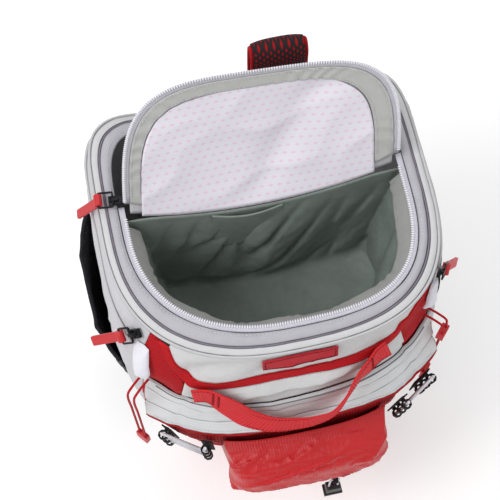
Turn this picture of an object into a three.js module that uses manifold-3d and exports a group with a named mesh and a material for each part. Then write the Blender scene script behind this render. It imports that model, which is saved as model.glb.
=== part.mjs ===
// A softball backpack, standing upright with its top lid unzipped and folded back.
// Millimetres, +Z up, the front of the bag faces -Y.
// The origin is on the underside, below the middle of the top rim.
import * as THREE from 'three';
import { mergeVertices } from 'three/addons/utils/BufferGeometryUtils.js';
import Module from 'manifold-3d';

const wasm = await Module();
wasm.setup();

// Walls and clearances
const GAP = 0.3;
const FACET_GAP = 0.9;
const CLOTH = 2;
const THIN_CLOTH = 1.3;
const WEBBING = 1.6;

// The body, measured at the rim
const RIM_HEIGHT = 450;
const HALF_WIDTH = 142;
const FRONT_REACH = 131;
const BACK_REACH = 117;
const BACK_DIP = 25;
const BASE_WALL = 3;

// Heights of the seams on the front
const WELT_LEVEL = 414;
const WELT_RISE = 42;
const WELT_BAND = 8;
const SEAM_LEVEL = 375;
const FLAP_LEVEL = 335;
const FLAP_FLARE = 5;
const FRONT_PUFF = 3;

// Turns round the body, in degrees from the middle of the front, where its upright seams run
const FRONT_TURN = 37.5;
const UPPER_TURN = 45;
const WELT_TURN = 48.75;
const SIDE_TURN = 52.5;
const TURN_STEP = 3.75;
const FLAP_TURN = 52;
const FLAP_FOOT_TURN = 47;
const BACK_TURN = 140;
const GARAGE_TOP_TURN = 53;
const GARAGE_FOOT_TURN = 48.5;
const SLIDER_TURN = 56.5;
const PIPING_TURN = 59;

// Rim, mouth and zip
const EDGE_BAND = 8;
const EDGE_RADIUS = 1.3;
const EDGE_DROP = 1;
const SEAM_RADIUS = 0.9;
const RIM_PAD = 3;
const RIM_CROWN = 2.5;
const SIDE_BAND_DROP = 18;
const SIDE_PIPING_RADIUS = 1.6;
const MOUTH_HALF_WIDTH = 125;
const MOUTH_FRONT = 112;
const MOUTH_BACK = 100;
const ZIP_TAPE = 6;
const ZIP_TURN = 97;
const FACING_TURN = 93;
const FACING_WIDTH = 11;
const FACING_DROP = 15;

// Top compartment
const LINER_DEPTH = 150;
const LINER_FOLD = 3;
const LINER_TURN = 95;
const INNER_POCKET_WIDTH = 62;
const INNER_POCKET_DEPTH = 60;

// Lid
const HINGE_BACK = 15;
const HINGE_BOW = 7;
const HINGE_SAG = 12;
const LID_HALF_WIDTH = 115;
const LID_LENGTH = 137;
const LID_SLANT = 0.1;
const LID_LEAN = THREE.MathUtils.degToRad(20);
const LID_BORDER = 13;
const LINING_SHIFT = 3.5;
const LID_ZIP_TAPE = 5;
const LID_DOME = 9;
const LID_TAPER = 0.05;
const LID_SHIFT = 9;

// Front pocket
const POCKET_WIDTH = 162;
const POCKET_SHIFT = 3;
const POCKET_TOP = 303;
const POCKET_HEIGHT = 125;
const POCKET_DEPTH = 40;

// Side pockets
const SIDE_COLUMNS = 12;
const SIDE_STEP = (BACK_TURN - SIDE_TURN) / SIDE_COLUMNS;
const SIDE_POCKET_FROM = SIDE_TURN + 2 * SIDE_STEP;
const SIDE_POCKET_TO = SIDE_TURN + 10 * SIDE_STEP;
const SIDE_POCKET_TOP = 300;
const SIDE_POCKET_FLOOR = 24;
const SIDE_POCKET_BULGE = 16;

// Back pad and shoulder straps
const BACK_PAD = 10;
const STRAP_WIDTH = 53;
const STRAP_PAD = 11;
const STRAP_SPREAD = 41;
const STRAP_WEB = 22;
const LEFT_STRAP_DROOP = 68;
const LEFT_STRAP_ROOT = 0.72;
const RIGHT_STRAP_ROOT = 0.86;
const STRAP_ROOT_STEP = 0.04;

// Small pieces
const HANDLE_WIDTH = 25;
const SLIDER_BODY = 3.2;
const SLIDER_DROP = 8;
const LABEL_WIDTH = 64;
const LABEL_HEIGHT = 18;
const GARAGE_WIDTH = 15;
const GARAGE_PAD = 4.5;
const GARAGE_TOP = 14;
const GARAGE_LENGTH = 29;
const LACE_RADIUS = 1.5;
const LACE_LOOP_WIDTH = 8;
const LACE_PITCH = 24;
const LACE_TURN = 41;
const LACE_CLEAR = 8;
const LACE_MIDDLE = 287;
const LACE_SLACK = 9;
const LACE_STEPS = 84;
const CORD_TURN = 50;
const CORD_LEVEL = 388;
const CORD_RADIUS = 1.1;
const CORD_SPREAD = 7;
const CORD_OUT = 21;
const CORD_DROP = 150;
const TAB = { width: 13, height: 22, thickness: 5 };
const BARREL = { width: 13, height: 14, thickness: 7, below: 28 };
const LOCK = { width: 15, height: 20, thickness: 9, flange: 4 };
const LOCK_CORD_RADIUS = 1;
const LOCK_CORD_LENGTH = 62;
const LOCK_SPREAD = 9;

// Shares of the rim height, half width, front reach and back reach, then how square each corner is.
const SECTIONS = [
  { level: 0.0, wide: 0.88, front: 0.77, back: 0.9, left: 2.5, right: 2.5, rear: 4.5 },
  { level: 0.09, wide: 0.94, front: 0.87, back: 0.94, left: 2.5, right: 2.5, rear: 5 },
  { level: 0.29, wide: 1.01, front: 1.03, back: 0.98, left: 2.4, right: 2.4, rear: 5.5 },
  { level: 0.51, wide: 1.06, front: 1.19, back: 1.01, left: 2.7, right: 2.7, rear: 6 },
  { level: 0.667, wide: 1.085, front: 1.262, back: 1.015, left: 3.0, right: 3.0, rear: 6.5 },
  { level: 0.745, wide: 1.092, front: 1.19, back: 1.018, left: 3.1, right: 2.8, rear: 7 },
  { level: 0.833, wide: 1.088, front: 1.14, back: 1.018, left: 2.6, right: 2.3, rear: 7 },
  { level: 0.911, wide: 1.06, front: 1.045, back: 1.015, left: 4.0, right: 2.6, rear: 7 },
  { level: 0.96, wide: 1.03, front: 1.0, back: 1.01, left: 3.2, right: 2.8, rear: 7 },
  { level: 1.0, wide: 1.0, front: 1.0, back: 1.0, left: 2.5, right: 2.9, rear: 7 },
];
const MOUTH_CORNERS = { left: 2.3, right: 3.1, rear: 6 };

// Colours from the photo
const GREY = { color: 0xc9c8c8, roughness: 0.75 };
const WHITE = { color: 0xe6e4ea, roughness: 0.6 };
const RED = { color: 0xc4161c, roughness: 0.6 };
const DARK = { color: 0x17171a, roughness: 0.6 };
const PLUM = { color: 0x57505f, roughness: 0.6 };
const SATIN = { color: 0x7f8783, roughness: 0.45 };

const seamTurn = THREE.MathUtils.radToDeg(GAP / HALF_WIDTH) / 2;
const bag = new THREE.Group();

// Adds one named piece to the bag.
function piece(name, geometry, finish) {
  const material = new THREE.MeshStandardMaterial({ metalness: 0, ...finish });
  const mesh = new THREE.Mesh(geometry, material);
  mesh.name = name;
  bag.add(mesh);
  return mesh;
}

// A geometry whose faces point outwards, from its corners and its triangles.
function closedBody(corners, triangles) {
  const geometry = new THREE.BufferGeometry();
  const numbers = corners.flatMap((p) => [p.x, p.y, p.z]);
  geometry.setAttribute('position', new THREE.Float32BufferAttribute(numbers, 3));
  let volume = 0;
  for (let k = 0; k < triangles.length; k += 3) {
    const [a, b, c] = [corners[triangles[k]], corners[triangles[k + 1]], corners[triangles[k + 2]]];
    volume += a.dot(new THREE.Vector3().crossVectors(b, c));
  }
  geometry.setIndex(volume < 0 ? triangles.slice().reverse() : triangles);
  return geometry;
}

// A cloth wall between an outer and an inner grid of points; a loop joins the last row to the first.
function clothBetween(outer, inner, loop = false) {
  const rows = outer.length;
  const columns = outer[0].length;
  const corners = [...outer.flat(), ...inner.flat()];
  const triangles = [];
  const at = (face, i, j) => (face * rows + (i % rows)) * columns + j;
  const quad = (a, b, c, d) => triangles.push(a, b, c, a, c, d);
  for (let i = 0; i < (loop ? rows : rows - 1); i++) {
    for (let j = 0; j < columns - 1; j++) {
      quad(at(0, i, j), at(0, i + 1, j), at(0, i + 1, j + 1), at(0, i, j + 1));
      quad(at(1, i, j), at(1, i, j + 1), at(1, i + 1, j + 1), at(1, i + 1, j));
    }
    quad(at(0, i, 0), at(1, i, 0), at(1, i + 1, 0), at(0, i + 1, 0));
    quad(at(0, i, columns - 1), at(0, i + 1, columns - 1), at(1, i + 1, columns - 1), at(1, i, columns - 1));
  }
  if (!loop) {
    for (let j = 0; j < columns - 1; j++) {
      quad(at(0, 0, j), at(0, 0, j + 1), at(1, 0, j + 1), at(1, 0, j));
      quad(at(0, rows - 1, j), at(1, rows - 1, j), at(1, rows - 1, j + 1), at(0, rows - 1, j + 1));
    }
  }
  return closedBody(corners, triangles);
}

// A cloth wall from one function: place(u, v, sunk) gives the face, or the point that lies sunk below it.
function cloth(across, along, wall, place, loop = false) {
  const face = (sunk) =>
    Array.from({ length: loop ? across : across + 1 }, (_, i) =>
      Array.from({ length: along + 1 }, (_, j) => place(i / across, j / along, sunk)));
  return clothBetween(face(0), face(wall), loop);
}

// A solid through rings of points, each ring convex and closed by a fan at the two ends.
function throughRings(rings) {
  const count = rings[0].length;
  const triangles = [];
  for (let i = 0; i < rings.length - 1; i++) {
    for (let k = 0; k < count; k++) {
      const [a, b] = [i * count + k, i * count + ((k + 1) % count)];
      triangles.push(a, b, b + count, a, b + count, a + count);
    }
  }
  const last = (rings.length - 1) * count;
  for (let k = 1; k < count - 1; k++) {
    triangles.push(0, k + 1, k);
    triangles.push(last, last + k, last + k + 1);
  }
  return closedBody(rings.flat(), triangles);
}

// Webbing or a padded strap along a path; across(i) is its width direction there.
function strapAlong(path, across, width, thickness) {
  const [w, t] = [width / 2, thickness / 2];
  const corner = t * 0.6;
  const padded = [
    [-w, -t + corner], [-w + corner, -t], [w - corner, -t], [w, -t + corner],
    [w, t - corner], [w - corner, t], [-w + corner, t], [-w, t - corner],
  ];
  const section = thickness > WEBBING ? padded : [[-w, -t], [w, -t], [w, t], [-w, t]];
  const rings = path.map((point, i) => {
    const ahead = path[Math.min(i + 1, path.length - 1)].clone().sub(path[Math.max(i - 1, 0)]).normalize();
    const side = across(i).clone().addScaledVector(ahead, -across(i).dot(ahead)).normalize();
    const up = new THREE.Vector3().crossVectors(ahead, side);
    return section.map(([s, n]) => point.clone().addScaledVector(side, s).addScaledVector(up, n));
  });
  return throughRings(rings);
}

// A round section with the given number of sides.
function roundSection(radius, sides) {
  const corners = Array.from({ length: sides }, (_, k) => {
    const angle = (2 * Math.PI * k) / sides;
    return new THREE.Vector2(radius * Math.cos(angle), radius * Math.sin(angle));
  });
  return new THREE.Shape(corners);
}

// A cord along a smooth curve through its points.
function cordAlong(points, radius, steps, sides = 8) {
  const extrudePath = new THREE.CatmullRomCurve3(points, false, 'centripetal');
  return new THREE.ExtrudeGeometry(roundSection(radius, sides), { extrudePath, steps, bevelEnabled: false });
}

// Piping that runs right round and closes on itself.
function pipingRound(points, radius, sides) {
  const count = points.length;
  const corners = [];
  const triangles = [];
  for (let i = 0; i < count; i++) {
    const ahead = points[(i + 1) % count].clone().sub(points[(i + count - 1) % count]).normalize();
    const side = new THREE.Vector3().crossVectors(ahead, new THREE.Vector3(0, 0, 1)).normalize();
    const up = new THREE.Vector3().crossVectors(side, ahead);
    for (let k = 0; k < sides; k++) {
      const angle = (2 * Math.PI * k) / sides;
      const spoke = side.clone().multiplyScalar(Math.cos(angle)).addScaledVector(up, Math.sin(angle));
      corners.push(points[i].clone().addScaledVector(spoke, radius));
      const [a, b] = [i * sides + k, i * sides + ((k + 1) % sides)];
      const [c, d] = [((i + 1) % count) * sides + k, ((i + 1) % count) * sides + ((k + 1) % sides)];
      triangles.push(a, c, d, a, d, b);
    }
  }
  return closedBody(corners, triangles);
}

// A block with rounded corners in its own plane, its thickness centred on that plane.
function roundedBlock(width, height, thickness, corner, hole = null) {
  const [w, h] = [width / 2 - corner, height / 2 - corner];
  const outline = new THREE.Shape();
  outline.absarc(w, h, corner, 0, Math.PI / 2);
  outline.absarc(-w, h, corner, Math.PI / 2, Math.PI);
  outline.absarc(-w, -h, corner, Math.PI, 1.5 * Math.PI);
  outline.absarc(w, -h, corner, 1.5 * Math.PI, 2 * Math.PI);
  if (hole) outline.holes.push(hole);
  const settings = { depth: thickness, bevelEnabled: false, curveSegments: 2 };
  const block = new THREE.ExtrudeGeometry(outline, settings);
  return block.translate(0, 0, -thickness / 2);
}

// A round hole for a block's outline.
function roundHole(x, y, radius) {
  const path = new THREE.Path();
  path.absarc(x, y, radius, 0, 2 * Math.PI, true);
  return path;
}

// A closed body for joining and cutting, from a geometry's corners and faces.
function asBody(geometry) {
  const bare = geometry.index ? geometry.toNonIndexed() : geometry.clone();
  for (const name of Object.keys(bare.attributes)) if (name !== 'position') bare.deleteAttribute(name);
  const merged = mergeVertices(bare, 1e-3);
  return new wasm.Manifold(new wasm.Mesh({
    numProp: 3,
    vertProperties: new Float32Array(merged.attributes.position.array),
    triVerts: new Uint32Array(merged.index.array),
  }));
}

// The geometry of a joined or cut body.
function asGeometry(body) {
  const mesh = body.getMesh();
  const geometry = new THREE.BufferGeometry();
  geometry.setAttribute('position', new THREE.BufferAttribute(new Float32Array(mesh.vertProperties), 3));
  geometry.setIndex(Array.from(mesh.triVerts));
  return geometry;
}

// One solid from several that meet.
const fused = (geometries) => asGeometry(geometries.map(asBody).reduce((sum, next) => sum.add(next)));

const share = (value, from, to) => THREE.MathUtils.clamp((value - from) / (to - from), 0, 1);
const ease = (value, from, to) => THREE.MathUtils.smoothstep(value, from, to);
const between = (from, to, part) => from + (to - from) * part;

// The body's section at a height, with every column of the table blended smoothly.
function sectionAt(z) {
  const level = THREE.MathUtils.clamp(z / RIM_HEIGHT, 0, 1);
  let k = 0;
  while (k < SECTIONS.length - 2 && SECTIONS[k + 1].level < level) k++;
  const [low, high] = [SECTIONS[k], SECTIONS[k + 1]];
  const before = SECTIONS[Math.max(k - 1, 0)];
  const after = SECTIONS[Math.min(k + 2, SECTIONS.length - 1)];
  const span = high.level - low.level;
  const t = (level - low.level) / span;
  const blend = (column) => {
    const start = ((high[column] - before[column]) / (high.level - before.level)) * span;
    const end = ((after[column] - low[column]) / (after.level - low.level)) * span;
    return low[column] * (2 * t ** 3 - 3 * t ** 2 + 1) + start * (t ** 3 - 2 * t ** 2 + t)
      + high[column] * (3 * t ** 2 - 2 * t ** 3) + end * (t ** 3 - t ** 2);
  };
  return {
    wide: HALF_WIDTH * blend('wide'),
    front: FRONT_REACH * blend('front'),
    back: BACK_REACH * blend('back'),
    left: blend('left'),
    right: blend('right'),
    rear: blend('rear'),
  };
}

// How far a rounded outline reaches at a turn from the middle of the front, grown by out.
function reach(outline, turn, out) {
  const side = Math.abs(Math.sin(turn));
  const ahead = Math.abs(Math.cos(turn));
  const facesFront = Math.cos(turn) > 0;
  const deep = facesFront ? outline.front : outline.back;
  const frontCorner = Math.sin(turn) < 0 ? outline.left : outline.right;
  const power = facesFront ? frontCorner : outline.rear;
  return ((side / (outline.wide + out)) ** power + (ahead / (deep + out)) ** power) ** (-1 / power);
}

// A point of an outline at a turn in degrees.
function onOutline(outline, degrees, z, out) {
  const turn = THREE.MathUtils.degToRad(degrees);
  const far = reach(outline, turn, out);
  return new THREE.Vector3(far * Math.sin(turn), -far * Math.cos(turn), z);
}

const onBody = (degrees, z, out = 0) => onOutline(sectionAt(z), degrees, z, out);

// The body's front face at a distance x from the middle.
function frontAt(x, z, out = 0) {
  const outline = sectionAt(z);
  const power = x < 0 ? outline.left : outline.right;
  const rest = 1 - Math.min(1, Math.abs(x) / (outline.wide + out)) ** power;
  return new THREE.Vector3(x, -(outline.front + out) * rest ** (1 / power), z);
}

// The rim is level, and dips across the back where the bats go in.
const rimAt = (degrees) => RIM_HEIGHT - BACK_DIP * ease(Math.abs(degrees), 128, 152);
const wrapTurn = (degrees) => (degrees > 180 ? degrees - 360 : degrees);
const panelTopAt = (degrees) => rimAt(degrees) - EDGE_DROP - EDGE_RADIUS - GAP;

// The red zip welt runs level across the front and climbs to the rim at its ends.
const weltAt = (degrees) => WELT_LEVEL + WELT_RISE * share(Math.abs(degrees), 34, 47) ** 1.5;
const weltFootAt = (degrees) => Math.min(weltAt(degrees) - WELT_BAND, panelTopAt(degrees) - CLOTH / 4);

// The mouth of the top compartment, drawn in by inset.
const mouthOutline = { wide: MOUTH_HALF_WIDTH, front: MOUTH_FRONT, back: MOUTH_BACK, ...MOUTH_CORNERS };
const onMouth = (degrees, z, inset = 0) => onOutline(mouthOutline, degrees, z, -inset);

// A frame on the body's face: side runs to +turn, up climbs the wall, outward leaves it.
function seatOn(degrees, z, out) {
  const position = onBody(degrees, z, out);
  const side = onBody(degrees + 1, z).sub(onBody(degrees - 1, z)).normalize();
  const climb = onBody(degrees, z + 2).sub(onBody(degrees, z - 2)).normalize();
  const outward = new THREE.Vector3().crossVectors(side, climb).normalize();
  return { position, side, up: new THREE.Vector3().crossVectors(outward, side), outward };
}

// Sets a geometry made about its own origin into a frame.
function placed(geometry, { position, side, up, outward }) {
  const frame = new THREE.Matrix4().makeBasis(side, up, outward).setPosition(position);
  return geometry.applyMatrix4(frame);
}

// A frame from a place, the direction its +Y takes and the direction its +Z leans to.
function frameAlong(position, along, facing) {
  const up = along.clone().normalize();
  const side = new THREE.Vector3().crossVectors(up, facing).normalize();
  return { position, side, up, outward: new THREE.Vector3().crossVectors(side, up) };
}

// A wall panel of the body between two upright seams and two heights that may follow the turn.
function bodyPanel(from, to, lowAt, highAt, across, along, wall = CLOTH, proud = () => 0) {
  return cloth(across, along, wall, (u, v, sunk) => {
    const turn = between(from + seamTurn, to - seamTurn, u);
    const facing = wrapTurn(turn);
    const z = between(lowAt(facing), highAt(facing), v);
    return onBody(turn, z, proud(u, v) - sunk);
  });
}

const level = (z) => () => z;

// The padding of the back panel, and a point of the panel grown by out.
const backPad = (u, v) => BACK_PAD * (1 - Math.abs(2 * u - 1) ** 4) * (1 - Math.abs(2 * v - 1) ** 8);

function onBack(u, v, out) {
  const turn = between(BACK_TURN + seamTurn, 360 - BACK_TURN - seamTurn, u);
  return onBody(turn, between(BASE_WALL + GAP, panelTopAt(wrapTurn(turn)), v), out);
}

function buildBody() {
  const floor = level(BASE_WALL + GAP);
  const underside = new THREE.Shape(Array.from({ length: 48 }, (_, k) => {
    const corner = onBody((360 * k) / 48, 0);
    return new THREE.Vector2(corner.x, corner.y);
  }));
  piece('base_panel', new THREE.ExtrudeGeometry(underside, { depth: BASE_WALL, bevelEnabled: false }), GREY);
  const lowerFront = bodyPanel(-SIDE_TURN, SIDE_TURN, floor, level(SEAM_LEVEL - GAP), 16, 8);
  piece('lower_front_panel', lowerFront, RED);
  for (const [name, hand] of [['left', -1], ['right', 1]]) {
    const [from, to] = hand < 0 ? [-BACK_TURN, -SIDE_TURN] : [SIDE_TURN, BACK_TURN];
    const bandLow = (turn) => rimAt(turn) - SIDE_BAND_DROP;
    const pipingLevel = (turn) => bandLow(turn) - GAP - SIDE_PIPING_RADIUS;
    const panelHigh = (turn) => pipingLevel(turn) - SIDE_PIPING_RADIUS - 2 * GAP;
    piece(`${name}_side_panel`, bodyPanel(from, to, floor, panelHigh, SIDE_COLUMNS, 6), GREY);
    piece(`${name}_side_band`, bodyPanel(from, to, bandLow, panelTopAt, 12, 2), GREY);
    const pipingPath = Array.from({ length: 13 }, (_, k) => {
      const turn = hand * between(PIPING_TURN, BACK_TURN - seamTurn, k / 12);
      return onBody(turn, pipingLevel(turn), 0.4);
    });
    piece(`${name}_side_piping`, cordAlong(pipingPath, SIDE_PIPING_RADIUS, 16, 6), GREY);
    const [inner, outer] = hand < 0 ? [-SIDE_TURN, -FRONT_TURN] : [FRONT_TURN, SIDE_TURN];
    const cornerHigh = (turn) => weltFootAt(turn) - GAP;
    const across = (SIDE_TURN - FRONT_TURN) / TURN_STEP;
    const corner = bodyPanel(inner, outer, level(SEAM_LEVEL + GAP), cornerHigh, across, 3);
    piece(`${name}_corner_panel`, corner, RED);
  }
  piece('back_panel', cloth(12, 8, CLOTH, (u, v, sunk) => onBack(u, v, sunk ? -CLOTH : backPad(u, v))), GREY);
}

function buildFront() {
  const crease = (u, v) => FRONT_PUFF * Math.sin(Math.PI * v) ** 2
    - 2 * FRONT_PUFF * Math.exp(-(((v - 0.3) / 0.16) ** 2) - (((u - 0.5) / 0.3) ** 2));
  const steps = (turn) => (2 * turn) / TURN_STEP;
  const frontHigh = (turn) => weltFootAt(turn) - GAP;
  const frontPanel = bodyPanel(
    -FRONT_TURN, FRONT_TURN, level(SEAM_LEVEL + GAP), frontHigh, steps(FRONT_TURN), 5, CLOTH, crease);
  piece('front_panel', frontPanel, GREY);
  const upperLow = (turn) => weltAt(turn) + GAP;
  const upperFront = bodyPanel(-UPPER_TURN, UPPER_TURN, upperLow, panelTopAt, steps(UPPER_TURN), 3);
  piece('upper_front_panel', upperFront, GREY);
  const weltHigh = (turn) => Math.min(weltAt(turn), panelTopAt(turn));
  const welt = bodyPanel(-WELT_TURN, WELT_TURN, weltFootAt, weltHigh, steps(WELT_TURN), 1, CLOTH, level(0.8));
  piece('pocket_zip', welt, RED);
  piece('flap_band', cloth(20, 4, CLOTH, (u, v, sunk) => {
    const half = between(FLAP_FOOT_TURN, FLAP_TURN, v);
    const flare = CLOTH + 1.6 * FACET_GAP + FLAP_FLARE * (1 - v) ** 2;
    return onBody(between(-half, half, u), between(FLAP_LEVEL, SEAM_LEVEL - GAP, v), flare - sunk);
  }), GREY);
  const edge = Array.from({ length: 21 }, (_, k) => {
    const turn = between(-FLAP_FOOT_TURN, FLAP_FOOT_TURN, k / 20);
    return onBody(turn, FLAP_LEVEL - GAP - SIDE_PIPING_RADIUS, FLAP_FLARE + 1.6 * FACET_GAP + CLOTH / 2);
  });
  piece('flap_piping', cordAlong(edge, SIDE_PIPING_RADIUS, 26, 6), RED);
  const labelMiddle = (WELT_LEVEL + RIM_HEIGHT) / 2;
  piece('label_patch', cloth(8, 1, THIN_CLOTH, (u, v, sunk) =>
    frontAt(between(-0.5, 0.5, u) * LABEL_WIDTH, labelMiddle + between(-0.5, 0.5, v) * LABEL_HEIGHT,
      GAP + THIN_CLOTH - sunk)), RED);
  for (const [name, hand] of [['left', -1], ['right', 1]]) {
    const halfTurn = THREE.MathUtils.radToDeg(GARAGE_WIDTH / 2 / (HALF_WIDTH + FRONT_REACH / 6));
    piece(`${name}_zip_garage`, cloth(6, 5, GARAGE_PAD, (u, v, sunk) => {
      const narrow = Math.sqrt(1 - 0.8 * share(v, 0.7, 1) ** 2);
      const turn = between(GARAGE_TOP_TURN, GARAGE_FOOT_TURN, v) + between(-1, 1, u) * halfTurn * narrow;
      const crown = 1 + GARAGE_PAD * Math.sqrt(1 - 0.9 * (2 * u - 1) ** 2) * (1 - 0.7 * (2 * v - 1) ** 6);
      const z = RIM_HEIGHT - GARAGE_TOP - v * GARAGE_LENGTH;
      return onBody(hand * turn, z, FACET_GAP + GAP + (sunk ? 0 : crown));
    }), WHITE);
  }
}

function buildRim() {
  const around = 54;
  const seamIn = -EDGE_BAND - SEAM_RADIUS - GAP;
  piece('rim_band', cloth(around, 3, RIM_PAD, (u, v, sunk) => {
    const turn = 360 * u;
    const rim = rimAt(wrapTurn(turn));
    const z = rim + RIM_PAD / 2 + RIM_CROWN * Math.sin(Math.PI * v) - sunk;
    return onBody(turn, rim, seamIn).lerp(onMouth(turn, rim), v).setZ(z);
  }, true), GREY);
  piece('edge_band', cloth(around, 2, CLOTH, (u, v, sunk) => {
    const turn = 360 * u;
    const rim = rimAt(wrapTurn(turn));
    const out = between(-EDGE_BAND + SEAM_RADIUS + GAP, -EDGE_RADIUS - GAP, v);
    return onBody(turn, rim, out).setZ(rim + RIM_PAD * (1 - v) * 0.4 + Math.sin(Math.PI * v) - sunk);
  }, true), GREY);
  const ring = (out, drop) => Array.from({ length: around }, (_, k) => {
    const turn = (360 * k) / around;
    const rim = rimAt(wrapTurn(turn));
    return onBody(turn, rim, out).setZ(rim - drop);
  });
  piece('seam_piping', pipingRound(ring(-EDGE_BAND, 0), SEAM_RADIUS, 5), PLUM);
  piece('edge_piping', pipingRound(ring(0, EDGE_DROP), EDGE_RADIUS, 6), GREY);
  piece('mouth_zip_tape', cloth(40, 1, THIN_CLOTH, (u, v, sunk) => {
    const turn = between(-ZIP_TURN, ZIP_TURN, u);
    return onMouth(turn, RIM_HEIGHT + THIN_CLOTH - sunk, between(FACET_GAP, ZIP_TAPE, v));
  }), WHITE);
  piece('mouth_facing', cloth(40, 2, THIN_CLOTH, (u, v, sunk) => {
    const turn = between(-FACING_TURN, FACING_TURN, u);
    const ruffle = 1.5 * v * Math.sin(30 * u);
    const inset = ZIP_TAPE - 2 + FACING_WIDTH * v + ruffle;
    return onMouth(turn, RIM_HEIGHT - GAP - FACING_DROP * v ** 1.5 - sunk, inset);
  }), GREY);
}

// The hinge bows forward and sags in its middle.
function onHinge(x) {
  const middle = 1 - Math.min(1, (x / LID_HALF_WIDTH) ** 2);
  return new THREE.Vector3(x, HINGE_BACK - HINGE_BOW * middle, RIM_HEIGHT - HINGE_SAG * middle);
}

// The pouch's outline at its top: round the front of the mouth, then back along the hinge.
function linerOutline(inset) {
  const aroundFront = Array.from({ length: 31 }, (_, k) =>
    onMouth(between(-LINER_TURN, LINER_TURN, k / 30), RIM_HEIGHT, inset));
  const corner = aroundFront.at(-1).x;
  const alongHinge = Array.from({ length: 9 }, (_, k) => {
    const x = between(corner, -corner, (k + 1) / 10);
    return onHinge(x).add(new THREE.Vector3(0, -inset, 0));
  });
  return [...aroundFront, ...alongHinge];
}

// Shares of the pouch's depth and of its outline.
const LINER_ROWS = [
  { depth: 0, wide: 1 },
  { depth: 0.2, wide: 0.975 },
  { depth: 0.45, wide: 0.93 },
  { depth: 0.75, wide: 0.88 },
  { depth: 0.95, wide: 0.83 },
  { depth: 1, wide: 0.7 },
];

// A ring of the pouch: the outline drawn in about its middle, with folds that grow with depth.
function linerRing(row, inset, lift) {
  const middle = new THREE.Vector3(0, (HINGE_BACK - MOUTH_FRONT) / 2, 0);
  return linerOutline(inset).map((corner, k) => {
    const fold = 1 - (LINER_FOLD / MOUTH_HALF_WIDTH) * row.depth * (1 + Math.sin(1.1 * k));
    const ring = corner.clone().sub(middle).multiplyScalar(row.wide * fold).add(middle);
    return ring.setZ(corner.z - GAP - row.depth * (corner.z - RIM_HEIGHT + LINER_DEPTH) + lift);
  });
}

function buildCompartment() {
  const wall = 1.5;
  const edge = 1.2;
  const outer = LINER_ROWS.map((row) => linerRing(row, edge, 0));
  const inner = LINER_ROWS.map((row) => linerRing(row, edge + wall, wall * row.depth));
  const count = outer[0].length;
  const rows = LINER_ROWS.length;
  const corners = [...outer.flat(), ...inner.flat()];
  const triangles = [];
  const at = (face, j, k) => (face * rows + j) * count + (k % count);
  const quad = (a, b, c, d) => triangles.push(a, b, c, a, c, d);
  const below = corners.length;
  const floorMiddle = (rings) =>
    rings.at(-1).reduce((sum, p) => sum.add(p), new THREE.Vector3()).divideScalar(count);
  corners.push(floorMiddle(outer), floorMiddle(inner));
  for (let k = 0; k < count; k++) {
    for (let j = 0; j < rows - 1; j++) {
      quad(at(0, j, k), at(0, j + 1, k), at(0, j + 1, k + 1), at(0, j, k + 1));
      quad(at(1, j, k), at(1, j, k + 1), at(1, j + 1, k + 1), at(1, j + 1, k));
    }
    triangles.push(at(0, rows - 1, k), below, at(0, rows - 1, k + 1));
    triangles.push(at(1, rows - 1, k), at(1, rows - 1, k + 1), below + 1);
    quad(at(0, 0, k), at(0, 0, k + 1), at(1, 0, k + 1), at(1, 0, k));
  }
  piece('compartment_liner', closedBody(corners, triangles), SATIN);
  piece('inner_pocket', cloth(8, 4, THIN_CLOTH, (u, v, sunk) => {
    const x = -INNER_POCKET_WIDTH / 4 + between(-0.5, 0.5, u) * INNER_POCKET_WIDTH;
    const top = onHinge(x);
    const down = 2 + v * INNER_POCKET_DEPTH;
    const slack = 4 * Math.sin(Math.PI * u) * (1 - v);
    const inwards = 3.1 + 0.085 * down + slack + THIN_CLOTH - sunk;
    return top.add(new THREE.Vector3(0, -inwards, -down));
  }), SATIN);
}

// A point of the lid: x across, along from the hinge, behind towards the lid's outside.
function onLid(x, rise, behind) {
  const along = rise * (1 - LID_SLANT * share(x, -LID_HALF_WIDTH, LID_HALF_WIDTH));
  const fold = along / LID_LENGTH;
  const hinge = onHinge(x);
  const full = Math.min(1, fold);
  const across = x / (LID_HALF_WIDTH + LID_ZIP_TAPE);
  const sunk = behind + LID_DOME * Math.sin(Math.PI * full) * (1 - across ** 2);
  const [sine, cosine] = [Math.sin(LID_LEAN), Math.cos(LID_LEAN)];
  const y = between(hinge.y, HINGE_BACK, full) + along * sine + sunk * cosine;
  const z = between(hinge.z, RIM_HEIGHT, full) + GAP + along * cosine - sunk * sine;
  return new THREE.Vector3(x * (1 - LID_TAPER * fold) + LID_SHIFT * fold, y, z);
}

const LID_CORNERS = 4;

// A point of the lid's U-shaped outline, drawn in by inset; part runs from the left hinge end to the right.
function lidEdge(part, inset, behind) {
  const angle = Math.PI * between(0.005, 0.995, part);
  const across = Math.abs(Math.cos(angle)) ** (2 / LID_CORNERS) * -Math.sign(Math.cos(angle));
  const along = Math.sin(angle) ** (2 / LID_CORNERS);
  const aside = LINING_SHIFT * Math.max(0, inset / LID_BORDER);
  return onLid(across * (LID_HALF_WIDTH - inset) - aside, along * (LID_LENGTH - inset), behind);
}

// A cloth that fills the lid's outline drawn in by inset.
function lidSheet(inset, wall, front) {
  const aside = LINING_SHIFT * (inset / LID_BORDER);
  return cloth(12, 7, wall, (u, v, sunk) => {
    const rise = Math.sin(0.48 * Math.PI * v);
    const half = (LID_HALF_WIDTH - inset) * (1 - rise ** LID_CORNERS) ** (1 / LID_CORNERS);
    return onLid(between(-1, 1, u) * half - aside, rise * (LID_LENGTH - inset), front + sunk);
  });
}

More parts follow.
